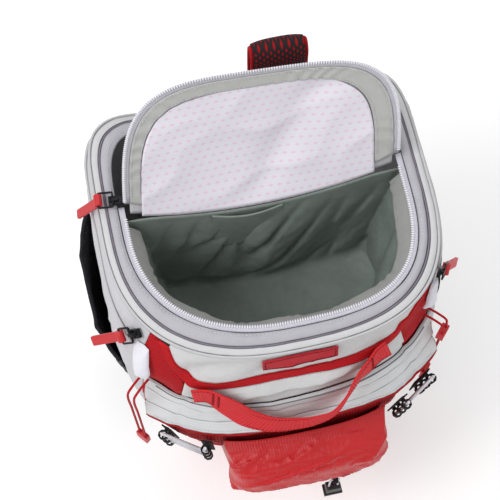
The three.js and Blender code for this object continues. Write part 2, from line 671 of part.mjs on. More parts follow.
function buildLid() {
  const borderPad = 2.6;
  piece('lid_lining', lidSheet(LID_BORDER + GAP, CLOTH, -CLOTH / 2), WHITE);
  piece('lid_border', cloth(32, 2, borderPad, (u, v, sunk) =>
    lidEdge(u, between(LID_BORDER, GAP, v), -borderPad / 2 + sunk)), GREY);
  piece('lid_shell', lidSheet(GAP, CLOTH, borderPad / 2 + FACET_GAP), GREY);
  piece('lid_zip_tape', cloth(32, 1, THIN_CLOTH, (u, v, sunk) =>
    lidEdge(u, between(0, -LID_ZIP_TAPE, v), -THIN_CLOTH / 2 + sunk)), WHITE);
}

// A zip slider with its wire loop, in a frame whose +Y leads to the loop.
function sliderSolid() {
  const body = new THREE.BoxGeometry(8, 12, SLIDER_BODY);
  const bridge = new THREE.BoxGeometry(3, 8, 3).translate(0, 1, 2.4);
  const wire = roundedBlock(15, 14, 1.5, 2, new THREE.Path([
    new THREE.Vector2(-6, -5.5), new THREE.Vector2(-6, 5.5),
    new THREE.Vector2(6, 5.5), new THREE.Vector2(6, -5.5),
  ])).translate(0, 8.5, 3);
  return fused([body, bridge, wire]);
}

// A red pull folded through the wire loop, with its flat tail.
function pullSolid() {
  const fold = new THREE.Shape();
  fold.absarc(0, 0, 3.6, 0, 2 * Math.PI);
  fold.holes.push(roundHole(0, 0, 1.25));
  const knot = new THREE.ExtrudeGeometry(fold, { depth: 10, bevelEnabled: false, curveSegments: 5 });
  knot.translate(0, 0, -5).rotateY(Math.PI / 2);
  const tail = roundedBlock(8.5, 30, 2.4, 1.2).translate(0, 17, -1.4);
  return fused([knot, tail]);
}

function buildSliders() {
  const onZip = onMouth(-103, RIM_HEIGHT + RIM_PAD / 2 + RIM_CROWN + GAP + SLIDER_BODY / 2, 0);
  const outLeft = new THREE.Vector3(-1, 0.1, 0);
  const lidTail = new THREE.Vector3(-0.8, -1.1, -0.8);
  const seats = [['lid', frameAlong(onZip, outLeft, new THREE.Vector3(0, 0, 1)), lidTail]];
  for (const [name, hand] of [['left', -1], ['right', 1]]) {
    const seat = seatOn(hand * SLIDER_TURN, RIM_HEIGHT - SLIDER_DROP, 1.5 * CLOTH + GAP);
    const aside = seat.side.clone().multiplyScalar(hand * 0.6).addScaledVector(seat.up, -0.8);
    const tail = seat.up.clone().multiplyScalar(-1).addScaledVector(seat.outward, 0.15);
    seats.push([name, frameAlong(seat.position, aside, seat.outward), tail]);
  }
  for (const [name, frame, tail] of seats) {
    piece(`${name}_slider`, placed(sliderSolid(), frame), DARK);
    const bar = frame.position.clone().addScaledVector(frame.up, 14.75).addScaledVector(frame.outward, 3);
    const away = tail.addScaledVector(frame.side, -tail.dot(frame.side));
    piece(`${name}_pull`, placed(pullSolid(), frameAlong(bar, away, frame.outward)), RED);
  }
}

// Route of the haul handle: turn, height as a share from the flap to the welt, distance off the body, lean.
const HANDLE_ROUTE = [
  { turn: -34, rise: 0.84, out: 4, lean: 9 },
  { turn: -30, rise: 0.85, out: 4.5, lean: 9 },
  { turn: -26, rise: 0.79, out: 7.5, lean: 12 },
  { turn: -22, rise: 0.65, out: 10, lean: 16 },
  { turn: -17, rise: 0.47, out: 13, lean: 18 },
  { turn: -10.5, rise: 0.32, out: 15, lean: 14 },
  { turn: -4, rise: 0.25, out: 16, lean: 10 },
  { turn: 2, rise: 0.25, out: 17, lean: 4 },
  { turn: 8, rise: 0.36, out: 17, lean: -2 },
  { turn: 13, rise: 0.54, out: 14, lean: -4 },
  { turn: 18, rise: 0.74, out: 11, lean: 2 },
  { turn: 22.5, rise: 0.84, out: 8.5, lean: 10 },
  { turn: 27, rise: 0.88, out: 4.8, lean: 16 },
  { turn: 30.5, rise: 0.9, out: 4.6, lean: 18 },
];

function buildHandle() {
  const route = HANDLE_ROUTE.map(({ turn, rise, out }) =>
    onBody(turn, between(FLAP_LEVEL, WELT_LEVEL, rise), out));
  const curve = new THREE.CatmullRomCurve3(route, false, 'centripetal');
  const steps = 30;
  const path = Array.from({ length: steps + 1 }, (_, k) => curve.getPoint(k / steps));
  const widthAt = (k) => {
    const place = (k / steps) * (HANDLE_ROUTE.length - 1);
    const row = Math.min(Math.floor(place), HANDLE_ROUTE.length - 2);
    const lean = THREE.MathUtils.degToRad(
      between(HANDLE_ROUTE[row].lean, HANDLE_ROUTE[row + 1].lean, place - row));
    const inward = new THREE.Vector3(-path[k].x, -path[k].y, 0).normalize();
    return inward.multiplyScalar(Math.sin(lean)).add(new THREE.Vector3(0, 0, Math.cos(lean)));
  };
  piece('haul_handle', strapAlong(path, widthAt, HANDLE_WIDTH, WEBBING), RED);
}

// The front pocket's face: boxy, and sewn to the lower front along its edges.
function onPocket(u, v, sunk) {
  const [a, b] = [-Math.cos(Math.PI * u), -Math.cos(Math.PI * v)];
  const full = Math.sqrt(1 - Math.abs(a) ** 14) * Math.sqrt(1 - Math.abs(b) ** 6);
  const x = POCKET_SHIFT + (a * POCKET_WIDTH * (1 - 0.04 * full)) / 2;
  const z = POCKET_TOP - ((b + 1) / 2) * POCKET_HEIGHT;
  const seat = frontAt(x, z);
  const shrink = sunk * full;
  seat.x -= Math.sign(a) * shrink * Math.abs(a) ** 8;
  seat.z += shrink * Math.abs(b) ** 8 * Math.sign(b);
  seat.y -= FACET_GAP + CLOTH - sunk + POCKET_DEPTH * full;
  return seat;
}

function buildPockets() {
  piece('front_pocket', cloth(14, 8, CLOTH, onPocket), RED);
  for (const [name, hand] of [['left', -1], ['right', 1]]) {
    piece(`${name}_side_pocket`, cloth(16, 5, THIN_CLOTH, (u, v, sunk) => {
      const turn = hand * between(SIDE_POCKET_FROM, SIDE_POCKET_TO, u);
      const slack = SIDE_POCKET_BULGE * Math.sin(Math.PI * u) ** 0.7 * v ** 0.6;
      const z = between(SIDE_POCKET_FLOOR, SIDE_POCKET_TOP, v);
      return onBody(turn, z, 2 * GAP + THIN_CLOTH + slack - sunk);
    }), DARK);
  }
}

// A frame on the pocket's face: up climbs it, outward leaves it.
function seatOnPocket(u, v, out) {
  const step = 0.01;
  const side = onPocket(u + step, v, 0).sub(onPocket(u - step, v, 0)).normalize();
  const climb = onPocket(u, v - step, 0).sub(onPocket(u, v + step, 0)).normalize();
  const outward = new THREE.Vector3().crossVectors(side, climb).normalize();
  const position = onPocket(u, v, 0).addScaledVector(outward, out);
  return { position, side, up: new THREE.Vector3().crossVectors(outward, side), outward };
}

const LOOP_WALL = 1.4;
const LOOP_EYE = LACE_RADIUS + 1.8;
const LOOP_REACH = LOOP_WALL + LOOP_EYE + LOOP_WALL + 1.5;

// A webbing eye standing on its neck: the hole runs along +Z, the neck points to -Y.
function loopEye(width) {
  const ring = new THREE.Shape();
  ring.absarc(0, 0, LOOP_EYE + LOOP_WALL, 0, 2 * Math.PI);
  ring.holes.push(roundHole(0, 0, LOOP_EYE));
  const eye = new THREE.ExtrudeGeometry(ring, { depth: width, bevelEnabled: false, curveSegments: 4 });
  const neck = new THREE.BoxGeometry(2 * LOOP_WALL, LOOP_REACH - LOOP_EYE, width - 1);
  neck.translate(0, -(LOOP_REACH + LOOP_EYE) / 2 - LOOP_WALL / 4, 0);
  return fused([eye.translate(0, 0, -width / 2), neck]);
}

// Three webbing eyes in a row on one strip, in a frame.
function loopStrip({ position, up, outward }) {
  const strip = new THREE.BoxGeometry(LACE_LOOP_WIDTH + 2, LACE_PITCH * 2 + 2 * LACE_LOOP_WIDTH, LOOP_WALL);
  const onFace = position.clone().addScaledVector(outward, LOOP_WALL / 2);
  const solids = [placed(strip, frameAlong(onFace, up, outward))];
  for (const k of [-1, 0, 1]) {
    const middle = eyeMiddle({ position, up, outward }, k);
    solids.push(placed(loopEye(LACE_LOOP_WIDTH), frameAlong(middle, outward, up)));
  }
  return fused(solids);
}

// The middle of one eye of a strip.
function eyeMiddle({ position, up, outward }, k) {
  return position.clone().addScaledVector(outward, LOOP_REACH).addScaledVector(up, k * LACE_PITCH);
}

function buildLacing() {
  for (const [name, hand] of [['left', -1], ['right', 1]]) {
    const onFront = seatOn(hand * LACE_TURN, LACE_MIDDLE, 2 * FACET_GAP);
    const beside = POCKET_SHIFT + hand * (POCKET_WIDTH / 2 + LACE_CLEAR);
    const onWall = frontAt(beside, LACE_MIDDLE);
    const pocketTurn = THREE.MathUtils.radToDeg(Math.atan2(onWall.x, -onWall.y));
    const byPocket = seatOn(pocketTurn, LACE_MIDDLE, 2 * FACET_GAP);
    piece(`${name}_body_loops`, loopStrip(onFront), DARK);
    piece(`${name}_pocket_loops`, loopStrip(byPocket), DARK);
    const lip = LACE_LOOP_WIDTH / 2 + GAP;
    const along = [lip + LACE_SLACK, lip, 0, -lip, -lip - LACE_SLACK];
    const route = [1, 0, -1].flatMap((k) => [byPocket, onFront].flatMap((seat) =>
      along.map((step) => eyeMiddle(seat, k).addScaledVector(seat.up, step))));
    piece(`${name}_lacing`, cordAlong(route, LACE_RADIUS, LACE_STEPS, 6), WHITE);
  }
}

// The cord lock hangs on its own loop of cord from an eye low on the pocket's face.
function buildCordLock() {
  const seat = seatOnPocket(0.61, 0.76, 2 * GAP);
  const strip = new THREE.BoxGeometry(LACE_LOOP_WIDTH, 2 * LACE_LOOP_WIDTH, LOOP_WALL);
  const onFace = seat.position.clone().addScaledVector(seat.outward, LOOP_WALL / 2);
  const facing = frameAlong(onFace, seat.up, seat.outward);
  const eye = seat.position.clone().addScaledVector(seat.outward, LOOP_REACH);
  const hanger = placed(loopEye(LOCK_SPREAD - 4), frameAlong(eye, seat.outward, seat.side));
  piece('lock_hanger', fused([placed(strip, facing), hanger]), DARK);
  const foot = eye.clone().setZ(eye.z - LOCK_CORD_LENGTH);
  const half = LOCK_SPREAD / 2;
  const at = (aside, above) => foot.clone().add(new THREE.Vector3(aside, 0, above));
  const strand = (s) => [0, 0.3, 0.6, 0.85].map((part) => at(s * half, part * LOCK_CORD_LENGTH));
  const [turned, top] = [half * 0.8, LOCK_CORD_LENGTH];
  const bend = [at(-turned, top - 1), at(0, top), at(turned, top - 1)];
  const route = [...strand(-1), ...bend, ...strand(1).reverse()];
  piece('lock_cord', cordAlong(route, LOCK_CORD_RADIUS, 32), WHITE);
  const upright = new THREE.Vector3(0, 0, 1);
  const ahead = new THREE.Vector3(0, -1, 0);
  const body = roundedBlock(LOCK.width, LOCK.height, LOCK.thickness, 2);
  const flange = new THREE.BoxGeometry(LOCK.width + 4, LOCK.flange, LOCK.thickness + 3);
  flange.translate(0, -LOCK.height / 2, 0);
  const lock = placed(fused([body, flange]), frameAlong(at(0, LOCK_CORD_LENGTH * 0.35), upright, ahead));
  piece('cord_lock', boredFor(lock, route, LOCK_CORD_RADIUS, 32), DARK);
}

// Strap route behind the back: share of the rim height, how far it stands off its seat, and how far apart.
const STRAP_ROUTE = [
  { level: 0.987, off: 0, spread: 1 },
  { level: 1.027, off: 1.5, spread: 1 },
  { level: 1.04, off: 7, spread: 1 },
  { level: 1.027, off: 12.5, spread: 1 },
  { level: 0.987, off: 14, spread: 1 },
  { level: 0.844, off: 15, spread: 1.02 },
  { level: 0.667, off: 16, spread: 1.08 },
  { level: 0.489, off: 16, spread: 1.18 },
  { level: 0.333, off: 14, spread: 1.3 },
];

function buildStraps() {
  for (const [name, hand] of [['left', -1], ['right', 1]]) {
    const strapTurn = THREE.MathUtils.radToDeg(Math.atan(STRAP_SPREAD / BACK_REACH));
    const u = 0.5 - (hand * strapTurn) / (360 - 2 * BACK_TURN);
    const seated = (v) => onBack(u, v, backPad(u, v) + FACET_GAP + STRAP_PAD / 2).setX(hand * STRAP_SPREAD);
    const root = hand < 0 ? LEFT_STRAP_ROOT : RIGHT_STRAP_ROOT;
    const [low, high] = [seated(root), seated(root + STRAP_ROOT_STEP)];
    const route = [low, high];
    for (const { level, off, spread } of STRAP_ROUTE) {
      const droop = hand < 0 ? LEFT_STRAP_DROOP * ease(level, STRAP_ROUTE[6].level, STRAP_ROUTE[0].level) : 0;
      route.push(new THREE.Vector3(hand * STRAP_SPREAD * spread, high.y + off, RIM_HEIGHT * level - droop));
    }
    const curve = new THREE.CatmullRomCurve3(route, false, 'centripetal');
    const path = Array.from({ length: 27 }, (_, k) => curve.getPoint(k / 26));
    piece(`${name}_strap`, strapAlong(path, () => new THREE.Vector3(1, 0, 0), STRAP_WIDTH, STRAP_PAD), DARK);
    const end = path.at(-1);
    const ahead = end.clone().sub(path.at(-2)).normalize();
    const foot = (z, out) => onBody(hand * BACK_TURN, z, 2 * FACET_GAP + WEBBING / 2 + out);
    const webRoute = [
      end.clone().addScaledVector(ahead, FACET_GAP),
      end.clone().addScaledVector(ahead, 14),
      end.clone().lerp(foot(52, 4), 0.5),
      foot(52, 4),
      foot(30, 0.4),
      foot(10, 0),
    ];
    const webCurve = new THREE.CatmullRomCurve3(webRoute, false, 'centripetal');
    const web = Array.from({ length: 17 }, (_, k) => webCurve.getPoint(k / 16));
    const footSide = seatOn(hand * BACK_TURN, 20, 0).side.multiplyScalar(-1);
    const widthAt = (k) => new THREE.Vector3(1, 0, 0).lerp(footSide, ease(k / 16, 0.3, 0.9));
    piece(`${name}_strap_web`, strapAlong(web, widthAt, STRAP_WEB, WEBBING), DARK);
  }
}

// A hairpin of cord in a frame: out from the seat, down, through a bend and back up beside itself.
function hairpin({ position, side, outward }, spread, out, drop, bend) {
  const down = new THREE.Vector3(0, 0, -1);
  const at = (aside, ahead, below) => position.clone().addScaledVector(side, aside)
    .addScaledVector(outward, ahead).addScaledVector(down, below);
  const half = spread / 2;
  const strand = (s) => [
    at(s, 0, 0), at(s, out * 0.5, 0.5), at(s, out * 0.9, 4), at(s, out, 12),
    at(s, out, drop * 0.35), at(s, out, drop * 0.65), at(s, out, drop - bend), at(s, out, drop),
  ];
  const turnBack = [0.25, 0.5, 0.75].map((part) => {
    const angle = Math.PI * part;
    return at(-half * Math.cos(angle), out, drop + half * Math.sin(angle));
  });
  return [...strand(-half), ...turnBack, ...strand(half).reverse()];
}

// A solid with a bore of the cord's own route through it.
function boredFor(block, route, radius, steps) {
  return asGeometry(asBody(block).subtract(asBody(cordAlong(route, radius + GAP, steps))));
}

function buildCords() {
  for (const [name, hand] of [['left', -1], ['right', 1]]) {
    const seat = seatOn(hand * CORD_TURN, CORD_LEVEL, 2 * GAP);
    const upright = new THREE.Vector3(0, 0, 1);
    const exit = { ...seat, outward: seat.outward.clone().setZ(0).normalize() };
    const route = hairpin(exit, CORD_SPREAD, CORD_OUT, CORD_DROP, 6);
    const steps = 52;
    piece(`${name}_cord`, cordAlong(route, CORD_RADIUS, steps), RED);
    const hung = (below) => exit.position.clone().addScaledVector(exit.outward, CORD_OUT)
      .addScaledVector(upright, -below);
    const tab = placed(roundedBlock(TAB.width, TAB.height, TAB.thickness, 3),
      frameAlong(hung(CORD_DROP - 6 + TAB.height / 2), upright, exit.outward));
    piece(`${name}_cord_tab`, boredFor(tab, route, CORD_RADIUS, steps), RED);
    if (hand > 0) {
      const barrel = placed(roundedBlock(BARREL.width, BARREL.height, BARREL.thickness, 2),
        frameAlong(hung(BARREL.below), upright, exit.outward));
      piece(`${name}_barrel_lock`, boredFor(barrel, route, CORD_RADIUS, steps), RED);
    }
  }
}

buildBody();
buildFront();
buildRim();
buildCompartment();
buildLid();
buildSliders();
buildHandle();
buildPockets();
buildLacing();
buildCordLock();
buildStraps();
buildCords();

export default bag;
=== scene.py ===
"""A softball backpack with its top lid folded back: cloth, webbing, zips, cord and hardware."""

import logging
import math
from dataclasses import dataclass, field
from enum import Enum
from typing import Callable, Iterable, Sequence

import bmesh
import bpy
import numpy as np
from mathutils import Matrix, Vector
from mathutils.bvhtree import BVHTree


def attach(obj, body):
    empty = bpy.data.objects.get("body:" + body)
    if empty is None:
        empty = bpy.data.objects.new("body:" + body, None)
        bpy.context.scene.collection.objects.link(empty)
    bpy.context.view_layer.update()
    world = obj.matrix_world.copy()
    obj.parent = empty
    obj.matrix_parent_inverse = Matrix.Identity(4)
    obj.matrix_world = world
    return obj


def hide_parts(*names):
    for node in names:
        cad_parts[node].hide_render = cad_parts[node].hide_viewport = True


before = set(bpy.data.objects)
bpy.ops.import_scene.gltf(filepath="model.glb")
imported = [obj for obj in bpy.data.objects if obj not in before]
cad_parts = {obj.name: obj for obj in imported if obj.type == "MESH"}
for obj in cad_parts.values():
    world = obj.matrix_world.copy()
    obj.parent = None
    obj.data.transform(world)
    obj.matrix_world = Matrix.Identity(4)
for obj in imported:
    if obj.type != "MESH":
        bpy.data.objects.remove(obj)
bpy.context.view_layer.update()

LOG = logging.getLogger("softball_backpack")
MM = 0.001
TAU = 2 * math.pi
BODY = "root"
CLOTH_MAP = "cloth"

RIM_HEIGHT = 450.0
MEAN_RADIUS = 150.0
LID_LEAN = math.radians(20)
LID_FACING = (0.0, -math.cos(LID_LEAN), math.sin(LID_LEAN))
HANDS = ("left", "right")
SHARP_EDGE = 50.0
SKIN = 0.2


# Shaders


class Link:
    """A value that comes out of a shader node; arithmetic on it adds Math nodes."""

    def __init__(self, shader: "Shader", socket: bpy.types.NodeSocket) -> None:
        """Keeps the socket and the shader that it belongs to."""
        self.shader = shader
        self.socket = socket

    def __add__(self, other: "Number") -> "Link":
        """Sum."""
        return self.shader.math("ADD", self, other)

    def __radd__(self, other: "Number") -> "Link":
        """Sum with a number on the left."""
        return self.shader.math("ADD", other, self)

    def __sub__(self, other: "Number") -> "Link":
        """Difference."""
        return self.shader.math("SUBTRACT", self, other)

    def __rsub__(self, other: "Number") -> "Link":
        """Difference from a number."""
        return self.shader.math("SUBTRACT", other, self)

    def __mul__(self, other: "Number") -> "Link":
        """Product."""
        return self.shader.math("MULTIPLY", self, other)

    def __rmul__(self, other: "Number") -> "Link":
        """Product with a number on the left."""
        return self.shader.math("MULTIPLY", other, self)

    def __truediv__(self, other: "Number") -> "Link":
        """Quotient."""
        return self.shader.math("DIVIDE", self, other)

    def __rtruediv__(self, other: "Number") -> "Link":
        """Quotient of a number by it."""
        return self.shader.math("DIVIDE", other, self)

    def wave(self) -> "Link":
        """Its sine."""
        return self.shader.math("SINE", self)

    def size(self) -> "Link":
        """Its absolute value."""
        return self.shader.math("ABSOLUTE", self)

    def part(self) -> "Link":
        """What is left above the whole number below it."""
        return self.shader.math("FRACT", self)

    def whole(self) -> "Link":
        """The whole number below it."""
        return self.shader.math("FLOOR", self)

    def ramp(self, low: float, high: float) -> "Link":
        """A smooth rise between two values of it.

        Args:
            low: where the rise starts, at 0.
            high: where it ends, at 1.

        Returns:
            The risen value.
        """
        return self.shader.output(
            "ShaderNodeMapRange",
            {"interpolation_type": "SMOOTHSTEP"},
            {"Value": self, "From Min": low, "From Max": high},
        )


Number = float | Link
Colour = tuple[float, float, float, float]


def colour(code: str) -> Colour:
    """A colour from its six hexadecimal digits, as the linear value that shaders take.

    Args:
        code: the six digits.

    Returns:
        The linear colour, with full alpha.
    """
    channels = [int(code[k : k + 2], 16) / 255 for k in (0, 2, 4)]
    linear = [c / 12.92 if c < 0.04045 else ((c + 0.055) / 1.055) ** 2.4 for c in channels]
    return (linear[0], linear[1], linear[2], 1.0)


class Lay(Enum):
    """How a cloth lies, which gives its thread directions."""

    AROUND = "round the body"
    UPRIGHT = "facing front or back"
    LEVEL = "flat round the rim"
    LID = "on the lid"
    ALONG = "along its own strip"


class Shader:
    """One material's node tree."""

    def __init__(self, name: str) -> None:
        """Starts the material with its surface shader.

        Args:
            name: the material's name.
        """
        self.material = bpy.data.materials.new(name)
        self.material.use_nodes = True
        self.tree = self.material.node_tree
        self.tree.nodes.clear()
        self.surface = self.node("ShaderNodeBsdfPrincipled")
        self.node("ShaderNodeOutputMaterial", inputs={"Surface": Link(self, self.surface.outputs[0])})

    def node(self, kind: str, settings: dict | None = None, inputs: dict | None = None) -> bpy.types.Node:
        """Adds a node.

        Args:
            kind: the node's type.
            settings: its own settings, which are set first.
            inputs: values or links for its sockets, by name or place.

        Returns:
            The node.
        """
        made = self.tree.nodes.new(kind)
        for name, value in (settings or {}).items():
            setattr(made, name, value)
        for key, value in (inputs or {}).items():
            if isinstance(value, Link):
                self.tree.links.new(value.socket, made.inputs[key])
            else:
                made.inputs[key].default_value = value
        return made

    def output(
        self, kind: str, settings: dict | None = None, inputs: dict | None = None, name: str | int = 0
    ) -> Link:
        """Adds a node and gives one of its outputs."""
        return Link(self, self.node(kind, settings, inputs).outputs[name])

    def math(self, operation: str, *terms: Number) -> Link:
        """Adds a Math node on one, two or three terms."""
        return self.output("ShaderNodeMath", {"operation": operation}, dict(enumerate(terms)))

    def mix(self, part: Number, low: Colour | Link, high: Colour | Link) -> Link:
        """A colour between two others.

        Args:
            part: how far it is from the first to the last, from 0 to 1.
            low: what 0 gives.
            high: what 1 gives.

        Returns:
            The value.
        """
        node = self.node("ShaderNodeMix", {"data_type": "RGBA"})
        for key, value in (("Factor_Float", part), ("A_Color", low), ("B_Color", high)):
            socket = next(s for s in node.inputs if s.identifier == key)
            if isinstance(value, Link):
                self.tree.links.new(value.socket, socket)
            else:
                socket.default_value = value
        return Link(self, next(s for s in node.outputs if s.identifier == "Result_Color"))

    def noise(self, grain: float, detail: float = 3.0) -> Link:
        """A cloudy value from 0 to 1.

        Args:
            grain: the size of its clouds in millimetres.
            detail: how many finer layers it has.

        Returns:
            The value.
        """
        place = self.output("ShaderNodeTexCoord", name="Object")
        inputs = {"Vector": place, "Scale": 1 / (grain * MM), "Detail": detail}
        return self.output("ShaderNodeTexNoise", {}, inputs)

    def spread(self, lay: Lay) -> tuple[Link, Link]:
        """Millimetres along and across the cloth, for the way that it lies.

        Args:
            lay: the way that the cloth lies.

        Returns:
            The two values.
        """
        if lay is Lay.ALONG:
            flat = self.output("ShaderNodeUVMap", {"uv_map": CLOTH_MAP})
            parts = self.node("ShaderNodeSeparateXYZ", inputs={0: flat})
            return Link(self, parts.outputs[0]) / MM, Link(self, parts.outputs[1]) / MM
        place = self.output("ShaderNodeTexCoord", name="Object")
        parts = self.node("ShaderNodeSeparateXYZ", inputs={0: place})
        x, y, z = (Link(self, socket) / MM for socket in parts.outputs)
        if lay is Lay.AROUND:
            return self.math("ARCTAN2", x, 0 - y) * MEAN_RADIUS, z
        if lay is Lay.LEVEL:
            return self.math("ARCTAN2", x, 0 - y) * MEAN_RADIUS, self.math("SQRT", x * x + y * y)
        if lay is Lay.LID:
            return x, z * math.cos(LID_LEAN) + y * math.sin(LID_LEAN)
        return x, z

    def finish(
        self, base: Link | Colour, roughness: Number, height: Link | None, **fixed: float
    ) -> bpy.types.Material:
        """Joins the surface up.

        Args:
            base: its colour.
            roughness: its roughness.
            height: its relief in millimetres, or None.
            fixed: values that are the same all over, by socket name with _ for a space.

        Returns:
            The finished material.
        """
        values: dict = {"Base Color": base, "Roughness": roughness}
        if height is not None:
            relief = {"Distance": MM, "Strength": 1.0, "Height": height}
            values["Normal"] = self.output("ShaderNodeBump", {}, relief)
        for key, value in values.items():
            if isinstance(value, Link):
                self.tree.links.new(value.socket, self.surface.inputs[key])
            else:
                self.surface.inputs[key].default_value = value
        for key, value in fixed.items():
            self.surface.inputs[key.replace("_", " ")].default_value = value
        return self.material


class Weave(Enum):
    """The patterns that the cloths are woven, knitted or pressed in."""

    PLAIN = "plain"
    RIBS = "ribs across"
    CORDS = "ribs along"
    LOZENGE = "pressed lozenges"
    NET = "open net over a ground"
    PRINT = "small printed motifs"
    GROOVES = "narrow level grooves between fine ribs"


@dataclass(frozen=True)
class ClothFinish:
    """A cloth: its colours, threads and pattern, in millimetres."""

    name: str
    slot: str
    # top is the cloth's own colour on its raised threads and pattern; low is darker, painted as shade where
    # they sit low and also mixed in by a random cloud tone.
    top: str
    low: str
    lay: Lay = Lay.AROUND
    weave: Weave = Weave.PLAIN
    thread: float = 1.1
    relief: float = 0.1
    pitch: float = 4.0
    pitch_relief: float = 0.3
    second: str = "000000"
    mottle: float = 0.25
    bold: float = 0.5
    roughness: float = 0.8
    shine: float = 0.15
    coat: float = 0.0

    def pattern(self, shader: Shader, u: Link, v: Link) -> Link:
        """How far the pattern stands up, from 0 to 1.

        Args:
            shader: the material's nodes.
            u: places along the cloth.
            v: places across the cloth.

        Returns:
            The value.
        """
        if self.weave is Weave.RIBS:
            return (u * (math.pi / self.pitch)).wave().size()
        if self.weave is Weave.CORDS:
            return (v * (math.pi / self.pitch)).wave().size()
        if self.weave is Weave.LOZENGE:
            rising = ((u + v) / self.pitch).part() - 0.5
            falling = ((u - v) / self.pitch).part() - 0.5
            return shader.math("MINIMUM", rising.size(), falling.size()).ramp(0.04, 0.2)
        if self.weave is Weave.NET:
            row = (v / self.pitch).whole()
            across = ((u / self.pitch) + (row * 0.5)).part() - 0.5
            up = (v / self.pitch).part() - 0.5
            return (across.size() * 1.1 + up.size()).ramp(0.3, 0.45)
        if self.weave is Weave.PRINT:
            row = (v / self.pitch).whole()
            across = ((u / self.pitch) + (row * 0.5)).part() - 0.5
            up = (v / self.pitch).part() - 0.5
            return 1 - (across.size() * 1.1 + (up + 0.1).size() * 1.6).ramp(0.26, 0.4)
        if self.weave is Weave.GROOVES:
            line = (v * (math.pi / self.pitch)).wave().size().ramp(0.02, 0.22)
            return line * 0.8 + (v * (6 * math.pi / self.pitch)).wave().size() * 0.2
        return shader.noise(1.5 * self.pitch, 2.0)

    def material(self) -> bpy.types.Material:
        """The cloth's material, made once.

        Returns:
            The material.
        """
        known = bpy.data.materials.get(self.name)
        if known is not None:
            return known
        shader = Shader(self.name)
        u, v = shader.spread(self.lay)
        threads = (u * (TAU / self.thread)).wave() * (v * (TAU / self.thread)).wave() * 0.5 + 0.5
        cloud = shader.noise(30.0, 4.0)
        pattern = self.pattern(shader, u, v)
        # Painted shade: the colour goes towards low where the threads and pattern sit low; the cloud adds a
        # random tone.
        relief_shade_and_mottle = (threads * (1 - self.bold) + pattern * self.bold) * (1 - self.mottle) + cloud * self.mottle
        base = shader.mix(relief_shade_and_mottle, colour(self.low), colour(self.top))
        if self.weave is Weave.NET:
            base = shader.mix(pattern, colour(self.second), base)
        if self.weave is Weave.PRINT:
            # Painted shade here too: darker where the threads sit low, with a random cloud tone.
            cloth = shader.mix(threads * 0.6 + cloud * 0.4, colour(self.low), colour(self.top))
            base = shader.mix(pattern * 0.75, cloth, colour(self.second))
        raised = 0.0 if self.weave is Weave.PRINT else self.pitch_relief
        height = threads * self.relief + pattern * raised
        return shader.finish(
            base,
            cloud * 0.12 + (self.roughness - 0.06),
            height,
            Specular_IOR_Level=self.shine,
            Coat_Weight=self.coat,
            Coat_Roughness=0.35,
        )


@dataclass(frozen=True)
class HardFinish:
    """A moulded plastic or coated metal."""

    name: str
    slot: str
    top: str
    low: str
    roughness: float = 0.4
    metallic: float = 0.0
    grain: float = 0.9

    def material(self) -> bpy.types.Material:
        """The material, made once.

        Returns:
            The material.
        """
        known = bpy.data.materials.get(self.name)
        if known is not None:
            return known
        shader = Shader(self.name)
        cloud = shader.noise(9.0, 5.0)
        grain = shader.noise(self.grain, 2.0)
        base = shader.mix(cloud * 0.7 + grain * 0.3, colour(self.low), colour(self.top))
        return shader.finish(base, cloud * 0.2 + (self.roughness - 0.1), grain * 0.05, Metallic=self.metallic)


Finish = ClothFinish | HardFinish

PANEL_CLOTH = ClothFinish("panel_cloth", "grey_cloth", "d9d9d9", "bdbdbe", thread=1.0, relief=0.08)
SIDE_CLOTH = ClothFinish("side_cloth", "grey_cloth", "cfced1", "b4b3b7", thread=1.0, relief=0.08)
RIM_CLOTH = ClothFinish("rim_cloth", "grey_cloth", "b9b8be", "a2a1a7", Lay.LEVEL, thread=1.0, relief=0.08)
EDGE_CLOTH = ClothFinish("edge_cloth", "grey_cloth", "d0d0d1", "b8b8ba", Lay.LEVEL, thread=0.9, relief=0.06)
# Painted shade: the dark low colour is drawn as a line in each groove between the flap's ribs.
FLAP_CLOTH = ClothFinish(
    "flap_cloth", "white_trim", "e2e3e4", "838589", weave=Weave.GROOVES, relief=0.05, pitch=13.4,
    pitch_relief=0.4, bold=0.8)
GARAGE_CLOTH = ClothFinish("garage_cloth", "white_trim", "e6e5ec", "cfced8", thread=0.9, relief=0.08)
# Painted shade: the facing's grey is darker than its cloth, for the shadow inside the mouth.
FACING_CLOTH = ClothFinish(
    "facing_cloth", "grey_cloth", "a2a3a0", "868784", Lay.LEVEL, thread=0.9, relief=0.06)
PIPING_CLOTH = ClothFinish("piping_cloth", "grey_cloth", "c9c9ca", "adadb0", thread=0.9, relief=0.06)
PLUM_CLOTH = ClothFinish("plum_piping_cloth", "plum_piping", "8d8893", "6f6a76", Lay.LEVEL, thread=0.9)
# Painted shade: a dark grey for the tube that stands for the shadow line above the flap.
SEAM_SHADOW = ClothFinish("seam_shadow_line", "grey_cloth", "85868a", "646569", thread=0.9)
CORNER_CLOTH = ClothFinish(
    "corner_cloth", "red_cloth", "c21e24", "93121a", weave=Weave.LOZENGE, pitch=2.8, pitch_relief=0.35,
    bold=0.8)
WELT_CLOTH = ClothFinish(
    "welt_cloth", "red_cloth", "c91d24", "8d1016", weave=Weave.CORDS, pitch=2.0, bold=0.7)
RED_PIPING = ClothFinish("red_piping_cloth", "red_cloth", "ba1a21", "870f15", thread=0.9)
LOWER_CLOTH = ClothFinish(
    "lower_front_cloth", "red_mesh", "b81c22", "6d0a10", weave=Weave.RIBS, pitch=2.6, pitch_relief=0.45,
    bold=0.75)
POCKET_CLOTH = ClothFinish(
    "pocket_cloth", "red_cloth", "d3161d", "a00a10", Lay.UPRIGHT, Weave.RIBS, pitch=2.6,
    pitch_relief=0.12, bold=0.35, roughness=0.42, shine=0.4, coat=0.1)
